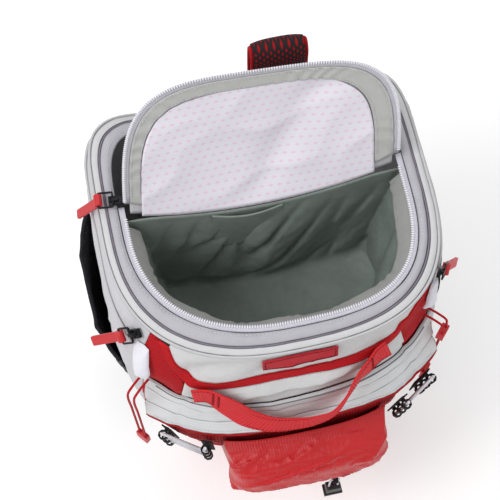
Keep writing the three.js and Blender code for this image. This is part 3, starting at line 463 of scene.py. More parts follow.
LABEL_CLOTH = ClothFinish(
    "label_cloth", "red_cloth", "c9303a", "a31a24", Lay.UPRIGHT, relief=0.12, roughness=0.55)
# Painted light and shade: the two tones are the satin lit with sheen and in shadow, mixed in large random
# clouds.
SATIN = ClothFinish(
    "liner_satin", "grey_satin", "939c96", "565f59", thread=0.7, relief=0.03, mottle=0.5, roughness=0.42)
LINING_CLOTH = ClothFinish(
    "printed_lining", "lining_cloth", "eeebf3", "e2deea", Lay.LID, Weave.PRINT, pitch=7.5, relief=0.05,
    second="e9cad9", roughness=0.7)
BORDER_CLOTH = ClothFinish("border_cloth", "grey_cloth", "cbcbc8", "acada9", Lay.LID, thread=1.0, relief=0.1)
SHELL_CLOTH = ClothFinish("shell_cloth", "grey_cloth", "d2d1d4", "b7b6ba", Lay.LID, thread=1.0, relief=0.08)
TAPE_CLOTH = ClothFinish("tape_cloth", "white_trim", "cfced6", "adacb6", Lay.LEVEL, thread=0.8, relief=0.06)
LID_TAPE_CLOTH = ClothFinish(
    "lid_tape_cloth", "white_trim", "cfced6", "adacb6", Lay.LID, thread=0.8, relief=0.06)
COIL = ClothFinish("zip_coil", "white_trim", "f7f6fa", "e3e2ea", Lay.LEVEL, thread=0.6, roughness=0.45)
THREAD = ClothFinish("pale_thread", "white_trim", "dddce3", "c3c2ca", Lay.LEVEL, thread=0.4, roughness=0.6)
RED_THREAD = ClothFinish("red_thread", "red_cloth", "b01b22", "86141a", Lay.LEVEL, thread=0.4, roughness=0.6)
DARK_THREAD = ClothFinish(
    "dark_thread", "black_trim", "2a292d", "19181b", Lay.LEVEL, thread=0.4, roughness=0.6)
RED_WEBBING = ClothFinish(
    "red_webbing", "red_cloth", "e0343a", "b8161e", Lay.ALONG, Weave.RIBS, thread=0.9, pitch=3.0,
    pitch_relief=0.35, roughness=0.6)
BLACK_WEBBING = ClothFinish(
    "black_webbing", "black_trim", "2c2c30", "151518", Lay.ALONG, Weave.RIBS, thread=0.9, pitch=2.4,
    pitch_relief=0.3)
LOOP_WEBBING = ClothFinish(
    "loop_webbing", "black_trim", "26262a", "121215", thread=0.9, relief=0.12, roughness=0.65)
STRAP_NET = ClothFinish(
    "strap_net", "black_mesh", "2b2527", "171315", Lay.ALONG, Weave.NET, thread=1.0, pitch=3.4,
    pitch_relief=0.5, second="8e1018", roughness=0.75)
SIDE_NET = ClothFinish(
    "side_pocket_net", "black_mesh", "45454a", "2b2b2f", Lay.AROUND, Weave.NET, pitch=3.6, pitch_relief=0.5,
    second="17171a", roughness=0.7)
BACK_NET = ClothFinish(
    "back_net", "grey_cloth", "b9b8bc", "a09fa4", Lay.UPRIGHT, Weave.NET, pitch=4.0, pitch_relief=0.5,
    second="78777d", roughness=0.8)
WHITE_CORD = ClothFinish("white_cord_braid", "white_trim", "ecebf0", "c6c5ce", Lay.ALONG, Weave.LOZENGE,
                         thread=0.7, pitch=1.6, pitch_relief=0.18, roughness=0.65)
LACE_CORD = ClothFinish("lace_cord_braid", "white_trim", "ecebf0", "c3c2cb", Lay.AROUND, Weave.LOZENGE,
                        thread=0.7, pitch=1.8, pitch_relief=0.18, roughness=0.65)
RED_CORD = ClothFinish("red_cord_braid", "red_cloth", "cf2028", "97121a", Lay.ALONG, Weave.LOZENGE,
                       thread=0.7, pitch=1.5, pitch_relief=0.15, roughness=0.6)
BLACK_METAL = HardFinish("coated_metal", "black_metal", "2b2b2e", "161618", 0.32, 0.85)
BLACK_PLASTIC = HardFinish("dark_plastic", "black_plastic", "222225", "121214", 0.42)
RED_RUBBER = HardFinish("red_rubber", "red_plastic", "cf2028", "a8141b", 0.5)


# Meshes


def smooth_curve(points: Sequence[Vector], count: int) -> list[Vector]:
    """Points along a smooth curve that passes through the ones it is given.

    Args:
        points: what the curve passes through.
        count: how many steps it is cut into.

    Returns:
        count + 1 points.
    """
    ends = [points[0] * 2 - points[1], *points, points[-1] * 2 - points[-2]]
    spans = len(points) - 1
    made = []
    for step in range(count + 1):
        place = step / count * spans
        k = min(int(place), spans - 1)
        t = place - k
        p0, p1, p2, p3 = ends[k : k + 4]
        d0, d1, d2 = (max((b - a).length ** 0.5, 1e-4) for a, b in ((p0, p1), (p1, p2), (p2, p3)))
        start = ((p1 - p0) / d0 - (p2 - p0) / (d0 + d1) + (p2 - p1) / d1) * d1
        stop = ((p2 - p1) / d1 - (p3 - p1) / (d1 + d2) + (p3 - p2) / d2) * d1
        made.append(
            p1 * (2 * t**3 - 3 * t**2 + 1) + start * (t**3 - 2 * t**2 + t)
            + p2 * (3 * t**2 - 2 * t**3) + stop * (t**3 - t**2))
    return made


def placed(name: str, data: bpy.types.ID) -> bpy.types.Object:
    """A new object in the scene.

    Args:
        name: its name.
        data: its mesh, light or camera.

    Returns:
        The object.
    """
    made = bpy.data.objects.new(name, data)
    bpy.context.scene.collection.objects.link(made)
    return made


def mesh_piece(name: str, corners: Sequence[Vector], faces: Sequence[Sequence[int]]) -> bpy.types.Object:
    """An object from corners in millimetres and its faces, shaded smooth.

    Args:
        name: its name.
        corners: its corners in millimetres.
        faces: its faces, as places in the list of corners.

    Returns:
        The piece.
    """
    mesh = bpy.data.meshes.new(name)
    mesh.from_pydata([tuple(c * MM) for c in corners], [], faces)
    mesh.validate()
    mesh.polygons.foreach_set("use_smooth", [True] * len(mesh.polygons))
    return placed(name, mesh)


def loft(name: str, rings: Sequence[Sequence[Vector]]) -> bpy.types.Object:
    """A capped skin through rings of points, with a cloth map along and round it.

    Args:
        name: the piece's name.
        rings: the rings, each with the same number of points.

    Returns:
        The object.
    """
    count = len(rings[0])
    total = len(rings)
    corners = [p for ring in rings for p in ring]
    faces = []
    for low in range(0, (total - 1) * count, count):
        high = low + count
        faces += [(low + k, low + (k + 1) % count, high + (k + 1) % count, high + k) for k in range(count)]
    faces += [tuple(reversed(range(count))), tuple(range((total - 1) * count, total * count))]
    made = mesh_piece(name, corners, faces)
    along = [0.0]
    for ring, following in zip(rings, rings[1:]):
        along.append(along[-1] + (following[0] - ring[0]).length)
    round_it = [0.0]
    for k in range(count):
        round_it.append(round_it[-1] + (rings[0][(k + 1) % count] - rings[0][k]).length)
    flat = made.data.uv_layers.new(name=CLOTH_MAP)
    for face in made.data.polygons:
        own = [made.data.loops[n].vertex_index for n in face.loop_indices]
        spokes = [v % count for v in own]
        wraps = 0 in spokes and count - 1 in spokes
        for n, corner, k in zip(face.loop_indices, own, spokes):
            across = round_it[count if wraps and k == 0 else k]
            flat.data[n].uv = (along[corner // count] * MM, across * MM)
    return made


def sweep(
    name: str, path: Sequence[Vector], section: Sequence[tuple[float, float]],
    side_at: Callable[[int], Vector],
) -> bpy.types.Object:
    """A section carried along a path.

    Args:
        name: the piece's name.
        path: the points that it follows.
        section: its corners, across and up.
        side_at: gives the direction of across at each point.

    Returns:
        The object.
    """
    rings = []
    for i, point in enumerate(path):
        ahead = (path[min(i + 1, len(path) - 1)] - path[max(i - 1, 0)]).normalized()
        side = side_at(i)
        side = (side - ahead * side.dot(ahead)).normalized()
        up = ahead.cross(side)
        rings.append([point + side * s + up * n for s, n in section])
    return loft(name, rings)


def round_section(radius: float, sides: int) -> list[tuple[float, float]]:
    """The corners of a round section."""
    return [(radius * math.cos(TAU * k / sides), radius * math.sin(TAU * k / sides)) for k in range(sides)]


def strip_section(width: float, thickness: float, crown: float = 0.0) -> list[tuple[float, float]]:
    """A flat strip with rounded edges and a crowned face.

    Args:
        width: its width.
        thickness: its thickness.
        crown: how much higher its middle is.

    Returns:
        The corners, across and up.
    """
    half, thick, edge = width / 2, thickness / 2, thickness / 2
    top = [(x * (half - edge), thick + crown * (1 - x * x)) for x in (1, 0.75, 0.4, 0, -0.4, -0.75, -1)]
    ends = [(math.cos(a) * edge, math.sin(a) * thick) for a in (-0.9, 0.0, 0.9)]
    right = [(half - edge + x, y) for x, y in ends]
    left = [(-(half - edge + x), -y) for x, y in ends]
    bottom = [(-x, -y) for x, y in top]
    return [*right, *top, *left, *bottom]


def tube(name: str, path: Sequence[Vector], radius: float, sides: int = 10) -> bpy.types.Object:
    """A round cord or piping along a path.

    Args:
        name: the piece's name.
        path: the points of its middle line.
        radius: its radius.
        sides: how many sides its section has.

    Returns:
        The object.
    """
    total = len(path)
    steady = [Vector((0.31, 0.22, 0.92)).normalized()]
    for i in range(1, total):
        ahead = (path[min(i + 1, total - 1)] - path[i - 1]).normalized()
        carried = steady[-1] - ahead * steady[-1].dot(ahead)
        steady.append(carried.normalized() if carried.length > 1e-3 else steady[-1])
    return sweep(name, path, round_section(radius, sides), lambda i: steady[i])


def bake(piece: bpy.types.Object) -> bpy.types.Object:
    """Applies a piece's modifiers.

    Args:
        piece: the piece.

    Returns:
        The piece.
    """
    graph = bpy.context.evaluated_depsgraph_get()
    made = bpy.data.meshes.new_from_object(piece.evaluated_get(graph))
    piece.modifiers.clear()
    old = piece.data
    piece.data = made
    bpy.data.meshes.remove(old)
    return piece


def welded(node: str, name: str, crease: bool) -> bpy.types.Object:
    """A new object with a solid's mesh, its triangles joined back into four-sided faces.

    Args:
        node: the solid to copy.
        name: the new object's name.
        crease: whether sharp edges stay sharp when the mesh is smoothed.

    Returns:
        The object.
    """
    work = bmesh.new()
    work.from_mesh(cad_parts[node].data)
    bmesh.ops.remove_doubles(work, verts=work.verts, dist=0.02 * MM)
    bmesh.ops.join_triangles(
        work, faces=work.faces, angle_face_threshold=math.radians(30), angle_shape_threshold=math.radians(80))
    marks = work.edges.layers.float.new("crease_edge")
    for edge in work.edges:
        if crease and len(edge.link_faces) == 2 and edge.calc_face_angle() > math.radians(SHARP_EDGE):
            edge[marks] = 1.0
    mesh = bpy.data.meshes.new(name)
    work.to_mesh(mesh)
    work.free()
    mesh.polygons.foreach_set("use_smooth", [True] * len(mesh.polygons))
    return placed(name, mesh)


Mover = Callable[[np.ndarray], np.ndarray]


def move_corners(piece: bpy.types.Object, *movers: Mover) -> bpy.types.Object:
    """Moves a mesh's corners by functions that take and give points in millimetres.

    Args:
        piece: the piece.
        movers: functions that take and give points in millimetres.

    Returns:
        The piece.
    """
    mesh = piece.data
    flat = np.empty(3 * len(mesh.vertices))
    mesh.vertices.foreach_get("co", flat)
    points = flat.reshape(-1, 3) / MM
    for mover in movers:
        points = mover(points)
    mesh.vertices.foreach_set("co", (points * MM).ravel())
    mesh.update()
    return piece


def press(piece: bpy.types.Object, height: Callable[[np.ndarray], np.ndarray]) -> bpy.types.Object:
    """Moves a mesh's corners along its normals by a function of their places, in millimetres.

    Args:
        piece: the piece.
        height: gives how far each corner moves.

    Returns:
        The piece.
    """
    mesh = piece.data
    normals = np.empty(3 * len(mesh.vertices))
    mesh.vertex_normals.foreach_get("vector", normals)
    facing = normals.reshape(-1, 3)
    return move_corners(piece, lambda points: points + facing * height(points)[:, None])


def dress(piece: bpy.types.Object, finish: Finish, *nodes: str) -> bpy.types.Object:
    """Gives a piece its finish, sets it on the bag and lets it stand for solids.

    Args:
        piece: the piece.
        finish: its finish.
        nodes: the solids that it stands for.

    Returns:
        The piece.
    """
    piece.data.materials.clear()
    piece.data.materials.append(finish.material())
    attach(piece, BODY)
    if nodes:
        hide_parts(*nodes)
    LOG.info("%s: %d faces, %s", piece.name, len(piece.data.polygons), finish.name)
    return piece


def soft(node: str, finish: Finish, *movers: Mover, levels: int = 3) -> bpy.types.Object:
    """A smooth cloth piece with a solid's outer shape.

    Args:
        node: the solid that it stands for.
        finish: its cloth.
        movers: what gives it its folds.
        levels: how often its faces are cut in four.

    Returns:
        The piece.
    """
    piece = welded(node, f"{node}_cloth", crease=True)
    smooth = piece.modifiers.new("smooth", "SUBSURF")
    smooth.levels = smooth.render_levels = levels
    bake(piece)
    if movers:
        move_corners(piece, *movers)
    return dress(piece, finish, node)


def hard(node: str, finish: Finish, edge: float) -> bpy.types.Object:
    """A moulded piece with a solid's shape and softly rounded edges.

    Args:
        node: the solid that it stands for.
        finish: its finish.
        edge: how wide its edges are rounded.

    Returns:
        The piece.
    """
    piece = welded(node, f"{node}_part", crease=False)
    bevel = piece.modifiers.new("edges", "BEVEL")
    bevel.width = edge * MM
    bevel.segments = 2
    bevel.limit_method = "ANGLE"
    bevel.angle_limit = math.radians(35)
    bake(piece)
    piece.data.polygons.foreach_set("use_smooth", [True] * len(piece.data.polygons))
    return dress(piece, finish, node)


def joined(name: str, pieces: Iterable[tuple[np.ndarray, list]]) -> bpy.types.Object:
    """One object from many small bodies, each given as its corners and faces.

    Args:
        name: its name.
        pieces: what it is made from.

    Returns:
        The piece.
    """
    corners: list[Vector] = []
    faces: list[tuple[int, ...]] = []
    for points, own in pieces:
        base = len(corners)
        corners += [Vector(p) for p in points]
        faces += [tuple(base + n for n in face) for face in own]
    return mesh_piece(name, corners, faces)


BEAD_FACES = [
    (0, 1, 2, 3), *[(k, 4 + k, 4 + (k + 1) % 4, (k + 1) % 4) for k in range(4)],
    *[(4 + k, 8 + k, 8 + (k + 1) % 4, 4 + (k + 1) % 4) for k in range(4)], (11, 10, 9, 8),
]


def bead(middle: Vector, along: Vector, up: Vector, length: float, width: float, height: float) -> tuple:
    """A small rounded bar, such as a stitch or a zip tooth.

    Args:
        middle: its middle.
        along: the direction of its length.
        up: the direction that it stands proud in.
        length: its length.
        width: its width.
        height: its height.

    Returns:
        Its corners and faces.
    """
    ahead = along.normalized()
    side = up.cross(ahead).normalized()
    above = ahead.cross(side)
    points = []
    for place, size in ((-0.5, 0.55), (0.0, 1.0), (0.5, 0.55)):
        centre = middle + ahead * (place * length)
        points += [centre + side * (s * width * size / 2) + above * (n * height * size / 2)
                   for s, n in ((-1, -1), (-1, 1), (1, 1), (1, -1))]
    return points, BEAD_FACES


def even_steps(path: Sequence[Vector], pitch: float) -> list[tuple[Vector, Vector]]:
    """Places a pitch apart along a path, each with the direction there.

    Args:
        path: the points that it follows.
        pitch: the distance from one to the next.

    Returns:
        The places, each with its direction.
    """
    made = []
    left_over = pitch / 2
    for a, b in zip(path, path[1:]):
        span = (b - a).length
        while left_over < span:
            made.append((a.lerp(b, left_over / span), (b - a).normalized()))
            left_over += pitch
        left_over -= span
    return made


def stitches(
    name: str, path: Sequence[Vector], up: Callable[[Vector], Vector], finish: Finish,
    length: float = 2.4, pitch: float = 3.3,
) -> bpy.types.Object:
    """A row of stitches along a path.

    Args:
        name: the row's name.
        path: where it runs.
        up: the direction that the stitches stand proud in, from a place.
        finish: the thread.
        length: the length of a stitch.
        pitch: from one stitch to the next.

    Returns:
        The piece.
    """
    bars = [bead(place, ahead, up(place), length, 0.6, 0.5) for place, ahead in even_steps(path, pitch)]
    return dress(joined(name, bars), finish)


def teeth(name: str, path: Sequence[Vector], up: Callable[[Vector], Vector]) -> bpy.types.Object:
    """The coil of a zip along the edge of its tape.

    Args:
        name: its name.
        path: the points that it follows.
        up: gives the direction that it stands proud in.

    Returns:
        The piece.
    """
    bars = []
    for place, ahead in even_steps(path, 2.1):
        above = up(place)
        bars.append(bead(place, ahead.cross(above), above, 3.2, 1.15, 1.4))
    return dress(joined(name, bars), COIL)


# The way the bag's cloth lies


@dataclass(frozen=True)
class Crumple:
    """Soft irregular folds, as a sum of waves that bend each other."""

    depth: float
    size: float
    seed: int
    stretch: float = 1.0
    waves: int = 8

    def at(self, u: np.ndarray, v: np.ndarray) -> np.ndarray:
        """The folds' height at places along and across the cloth, in millimetres.

        Args:
            u: places along the cloth.
            v: places across the cloth.

        Returns:
            The heights in millimetres.
        """
        draw = np.random.default_rng(self.seed)
        total = np.zeros_like(u)
        for _ in range(self.waves):
            angle, phase, bend = draw.uniform(0, math.pi), draw.uniform(0, TAU), draw.uniform(0, TAU)
            size = self.size * draw.uniform(0.7, 1.7)
            along = u * math.cos(angle) / self.stretch + v * math.sin(angle)
            aside = v * math.cos(angle) - u * math.sin(angle) / self.stretch
            total += np.sin(TAU * along / size + phase + 1.3 * np.sin(TAU * aside / (2.1 * size) + bend))
        total /= math.sqrt(self.waves / 2)
        return self.depth * (1 - 2 * np.abs(np.tanh(total)))


@dataclass(frozen=True)
class Dent:
    """One fold of the body: where it is, how large, and how far it stands out, or in if negative."""

    turn: float
    level: float
    wide: float
    tall: float
    out: float
    lean: float = 0.0

    def at(self, turn: np.ndarray, level: np.ndarray) -> np.ndarray:
        """Its height at places on the body, in millimetres.

        Args:
            turn: turns round the body in degrees.
            level: heights on the body.

        Returns:
            The heights in millimetres.
        """
        aside = (turn - self.turn) * math.radians(MEAN_RADIUS)
        above = level - self.level - aside * self.lean
        return self.out * np.exp(-((aside / self.wide) ** 2) - ((above / self.tall) ** 2))


DENTS = (
    Dent(turn=-34, level=427, wide=17, tall=10, out=-5.0, lean=0.3),
    Dent(turn=-22, level=422, wide=14, tall=8, out=2.6, lean=0.2),
    Dent(turn=26, level=432, wide=30, tall=7, out=-2.4, lean=-0.2),
    Dent(turn=12, level=399, wide=38, tall=8, out=4.4, lean=0.16),
    Dent(turn=18, level=381, wide=34, tall=6, out=-2.2, lean=0.1),
    Dent(turn=-14, level=396, wide=26, tall=8, out=2.6, lean=-0.1),
    Dent(turn=-24, level=388, wide=22, tall=9, out=2.2, lean=-0.3),
    Dent(turn=-30, level=398, wide=16, tall=8, out=-2.6, lean=-0.4),
    Dent(turn=30, level=390, wide=20, tall=10, out=-2.4, lean=0.5),
    Dent(turn=-44, level=392, wide=12, tall=16, out=-2.2, lean=0.8),
    Dent(turn=45, level=400, wide=10, tall=18, out=-2.0, lean=-0.8),
    Dent(turn=-20, level=150, wide=50, tall=16, out=-4.0, lean=0.25),
    Dent(turn=22, level=120, wide=60, tall=18, out=-4.0, lean=-0.2),
    Dent(turn=75, level=180, wide=22, tall=60, out=-4.0, lean=0.2),
    Dent(turn=-75, level=200, wide=24, tall=60, out=-4.0, lean=-0.2),
    Dent(turn=100, level=330, wide=40, tall=26, out=-4.5, lean=0.3),
    Dent(turn=-98, level=340, wide=40, tall=26, out=-4.5, lean=-0.3),
    Dent(turn=120, level=200, wide=20, tall=70, out=3.0),
    Dent(turn=-120, level=190, wide=20, tall=70, out=3.0),
)


@dataclass(frozen=True)
class Drape:
    """The folds of the body's cloth; every piece sewn to it moves with them."""

    wide: Crumple = Crumple(depth=1.4, size=70, seed=7, stretch=1.5)
    fine: Crumple = Crumple(depth=0.35, size=24, seed=21, stretch=1.4)
    seams: tuple[float, ...] = (37.5, 52.5, 140.0)
    level_seams: tuple[float, ...] = (409.0, 372.0, 432.0)
    seam_dip: float = 0.9
    seam_width: float = 3.5

    def out(self, turn: np.ndarray, level: np.ndarray) -> np.ndarray:
        """How far the cloth stands out at places on the body.

        Args:
            turn: turns round the body in degrees.
            level: heights on the body.

        Returns:
            The lengths in millimetres.
        """
        around = turn * math.radians(MEAN_RADIUS)
        taut = 1 - sum(0.75 * np.exp(-(((level - seam) / 7) ** 2)) for seam in self.level_seams)
        total = (self.wide.at(around, level) + self.fine.at(around, level)) * taut
        for dent in DENTS:
            total = total + dent.at(turn, level)
        for seam in self.seams:
            aside = (np.abs(turn) - seam) * math.radians(MEAN_RADIUS)
            total = total - self.seam_dip * np.exp(-((aside / self.seam_width) ** 2))
        held = np.clip((RIM_HEIGHT - 2 - level) / 14, 0, 1) * np.clip(level / 25, 0, 1)
        behind = np.clip((np.abs(turn) - 132) / 10, 0, 1) * 0.85
        return total * held * (1 - behind)

    def __call__(self, points: np.ndarray) -> np.ndarray:
        """Moves points outwards or inwards with the cloth."""
        return outwards(points, self.out(np.degrees(around_axis(points)), points[:, 2]))


DRAPE = Drape()


class Wall:
    """The outer face of finished pieces, for setting details on it."""

    def __init__(self, *pieces: bpy.types.Object) -> None:
        """Gathers the pieces' faces.

        Args:
            pieces: what it is made from.
        """
        corners: list[Vector] = []
        faces: list[tuple[int, ...]] = []
        for piece in pieces:
            base = len(corners)
            corners += [v.co / MM for v in piece.data.vertices]
            faces += [tuple(base + n for n in p.vertices) for p in piece.data.polygons]
        self.tree = BVHTree.FromPolygons(corners, faces)

    def at(self, degrees: float, level: float, lift: float = 0.0) -> Vector:
        """The place on the wall at a turn and a height, or that far in front of it.

        Args:
            degrees: the turn from the middle of the front.
            level: heights on the body.
            lift: how far in front of the wall the place is.

        Returns:
            The point.
        """
        turn = math.radians(degrees)
        heading = Vector((math.sin(turn), -math.cos(turn), 0))
        start = heading * 400 + Vector((0, 0, level))
        hit = self.tree.ray_cast(start, -heading)[0]
        return (hit if hit is not None else heading * MEAN_RADIUS + Vector((0, 0, level))) + heading * lift

    def seen_from_front(self, places: Iterable[tuple[float, float]]) -> list[Vector]:
        """Points just ahead of the wall at places across and up; a place that misses it is left out."""
        hits = (self.tree.ray_cast(Vector((x, -400, z)), Vector((0, 1, 0)))[0] for x, z in places)
        return [hit - Vector((0, SKIN, 0)) for hit in hits if hit is not None]


def around_axis(points: np.ndarray) -> np.ndarray:
    """How far points are round the bag from the middle of its front, as a turn in radians."""
    return np.arctan2(points[:, 0], -points[:, 1])


def outwards(points: np.ndarray, far: np.ndarray | float) -> np.ndarray:
    """Moves points level and away from the bag's upright axis, each by its own length.

    Args:
        points: places in millimetres, one a row.
        far: how far each one moves.

    Returns:
        The moved points.
    """
    heading = points[:, :2] / np.maximum(np.linalg.norm(points[:, :2], axis=1, keepdims=True), 1.0)
    moved = points.copy()
    moved[:, :2] += heading * np.broadcast_to(far, len(points))[:, None]
    return moved


def eased(values: np.ndarray, start: float, stop: float) -> np.ndarray:
    """0 at start and 1 at stop, straight in between and held beyond them."""
    return np.clip((values - start) / (stop - start), 0, 1)


def away_from_axis(place: Vector) -> Vector:
    """The level direction away from the bag's upright axis."""
    return Vector((place.x, place.y, 0)).normalized()


def proud(lift: float) -> Mover:
    """A mover that sets a whole piece further out by one length."""
    return lambda points: outwards(points, lift)


def straight_up(_: Vector) -> Vector:
    """The upward direction."""
    return Vector((0, 0, 1))


@dataclass(frozen=True)
class Outline:
    """A rounded outline about the upright axis: its reaches, and how square its corners are."""

    wide: float
    front: float
    back: float
    left: float
    right: float
    rear: float

    def at(self, degrees: float, level: float, out: float = 0.0) -> Vector:
        """The outline's point at a turn from the middle of the front.

        Args:
            degrees: the turn.
            level: the height of the point.
            out: how far the outline is grown.

        Returns:
            The point.
        """
        turn = math.radians(degrees)
        faces_front = math.cos(turn) > 0
        deep = self.front if faces_front else self.back
        corner = self.left if math.sin(turn) < 0 else self.right
        power = corner if faces_front else self.rear
        far = (abs(math.sin(turn) / (self.wide + out)) ** power
               + abs(math.cos(turn) / (deep + out)) ** power) ** (-1 / power)
        return Vector((far * math.sin(turn), -far * math.cos(turn), level))


MOUTH = Outline(wide=125, front=112, back=100, left=2.3, right=3.1, rear=6)


def turns(start: float, stop: float, count: int) -> list[float]:
    """Turns or lengths at even steps, both ends among them."""
    return [start + (stop - start) * k / count for k in range(count + 1)]


# Sub-assemblies


@dataclass
class SideCord:
    """A hairpin of elastic cord at one upper front corner, with the pieces threaded on it."""

    name: str
    seat: Vector
    heading: float
    pieces: tuple[str, ...]
    radius: float = 1.1
    spread: float = 7.0
    out: float = 21.0
    drop: float = 150.0
    bend: float = 6.0
    length: float = 0.3433

    def route(self) -> list[Vector]:
        """The points that the cord passes through.

        Returns:
            The points.
        """
        turn = math.radians(self.heading)
        outward = Vector((math.sin(turn), -math.cos(turn), 0))
        side = Vector((math.cos(turn), math.sin(turn), 0))
        half = self.spread / 2

        def at(aside: float, ahead: float, below: float) -> Vector:
            """A point beside, ahead of and below the seat."""
            return self.seat + side * aside + outward * ahead - Vector((0, 0, below))

        def strand(s: float) -> list[Vector]:
            """One side of the hairpin, from the seat down.

            Args:
                s: which side, as a length across from the middle.

            Returns:
                The points.
            """
            rows = ((0, 0), (0.5, 0.5), (0.9, 4), (1, 12), (1, self.drop * 0.35), (1, self.drop * 0.65),
                    (1, self.drop - self.bend), (1, self.drop))
            return [at(s, self.out * share, below) for share, below in rows]

        turn_back = [at(-half * math.cos(a), self.out, self.drop + half * math.sin(a))
                     for a in (0.25 * math.pi, 0.5 * math.pi, 0.75 * math.pi)]
        return [*strand(-half), *turn_back, *reversed(strand(half))]

    def build(self) -> None:
        """Makes the cord and dresses what hangs on it."""
        path = smooth_curve(self.route(), 104)
        cord = dress(tube(f"{self.name}_braid", path, self.radius), RED_CORD, self.name)
        threaded = [hard(node, RED_RUBBER, edge=0.6) for node in self.pieces]
        path[0] * MM
        [p * MM for p in path]


@dataclass
class CordLock:
    """The small cord lock that hangs from the foot of the front pocket."""

    eye: Vector = field(default_factory=lambda: Vector((29.97, -194.87, 190.5)))
    radius: float = 1.0
    spread: float = 9.0
    drop: float = 62.0
    length: float = 0.13

    def build(self) -> None:
        """Makes the loop of cord, its hanger and the lock."""
        foot = self.eye - Vector((0, 0, self.drop))
        half = self.spread / 2

        def at(aside: float, above: float) -> Vector:
            """A point beside and above the cord's lower ends."""
            return foot + Vector((aside, 0, above))

        def strand(s: float) -> list[Vector]:
            """One side of the loop, from its lower end up."""
            return [at(s * half, part * self.drop) for part in (0, 0.3, 0.6, 0.85)]

        top = [at(-half * 0.8, self.drop - 1), at(0, self.drop), at(half * 0.8, self.drop - 1)]
        path = smooth_curve([*strand(-1), *top, *reversed(strand(1))], 96)
        cord = dress(tube("lock_cord_braid", path, self.radius), WHITE_CORD, "lock_cord")
        lock = hard("cord_lock", BLACK_PLASTIC, edge=0.8)
        path[0] * MM
        [p * MM for p in path]
        hard("lock_hanger", LOOP_WEBBING, edge=0.3)


@dataclass
class Body:
    """The walls below the rim: lower front, sides, corners, back and base."""

    quilt_pitch: float = 46.0

    def quilting(self, points: np.ndarray) -> np.ndarray:
        """Presses level channels into the padded back.

        Args:
            points: places in millimetres, one a row.

        Returns:
            The moved points.
        """
        channel = np.abs(np.sin(math.pi * points[:, 2] / self.quilt_pitch))
        middle = np.clip(1 - np.abs(points[:, 0]) / 70, 0, 1)
        moved = points.copy()
        moved[:, 1] -= np.where(points[:, 1] > 100, 2.4 * np.exp(-((channel / 0.16) ** 2)) * middle**0.3, 0)
        return moved

    def sunk(self, points: np.ndarray) -> np.ndarray:
        """Draws the upper edge of the lower front in behind the flap.

        Args:
            points: places in millimetres, one a row.

        Returns:
            The moved points.
        """
        edge = eased(points[:, 2], 362, 368)
        moved = outwards(points, -2.5 * edge)
        moved[:, 2] -= 3.0 * edge
        return moved

    def build(self) -> None:
        """Makes the walls and their piping."""
        hard("base_panel", PIPING_CLOTH, edge=0.8)
        soft("lower_front_panel", LOWER_CLOTH, DRAPE, self.sunk)
        for hand in HANDS:
            soft(f"{hand}_side_panel", SIDE_CLOTH, DRAPE)
            soft(f"{hand}_side_band", SIDE_CLOTH, DRAPE)
            soft(f"{hand}_side_piping", PIPING_CLOTH, DRAPE, levels=2)
            soft(f"{hand}_corner_panel", CORNER_CLOTH, DRAPE)
        soft("back_panel", BACK_NET, self.quilting)


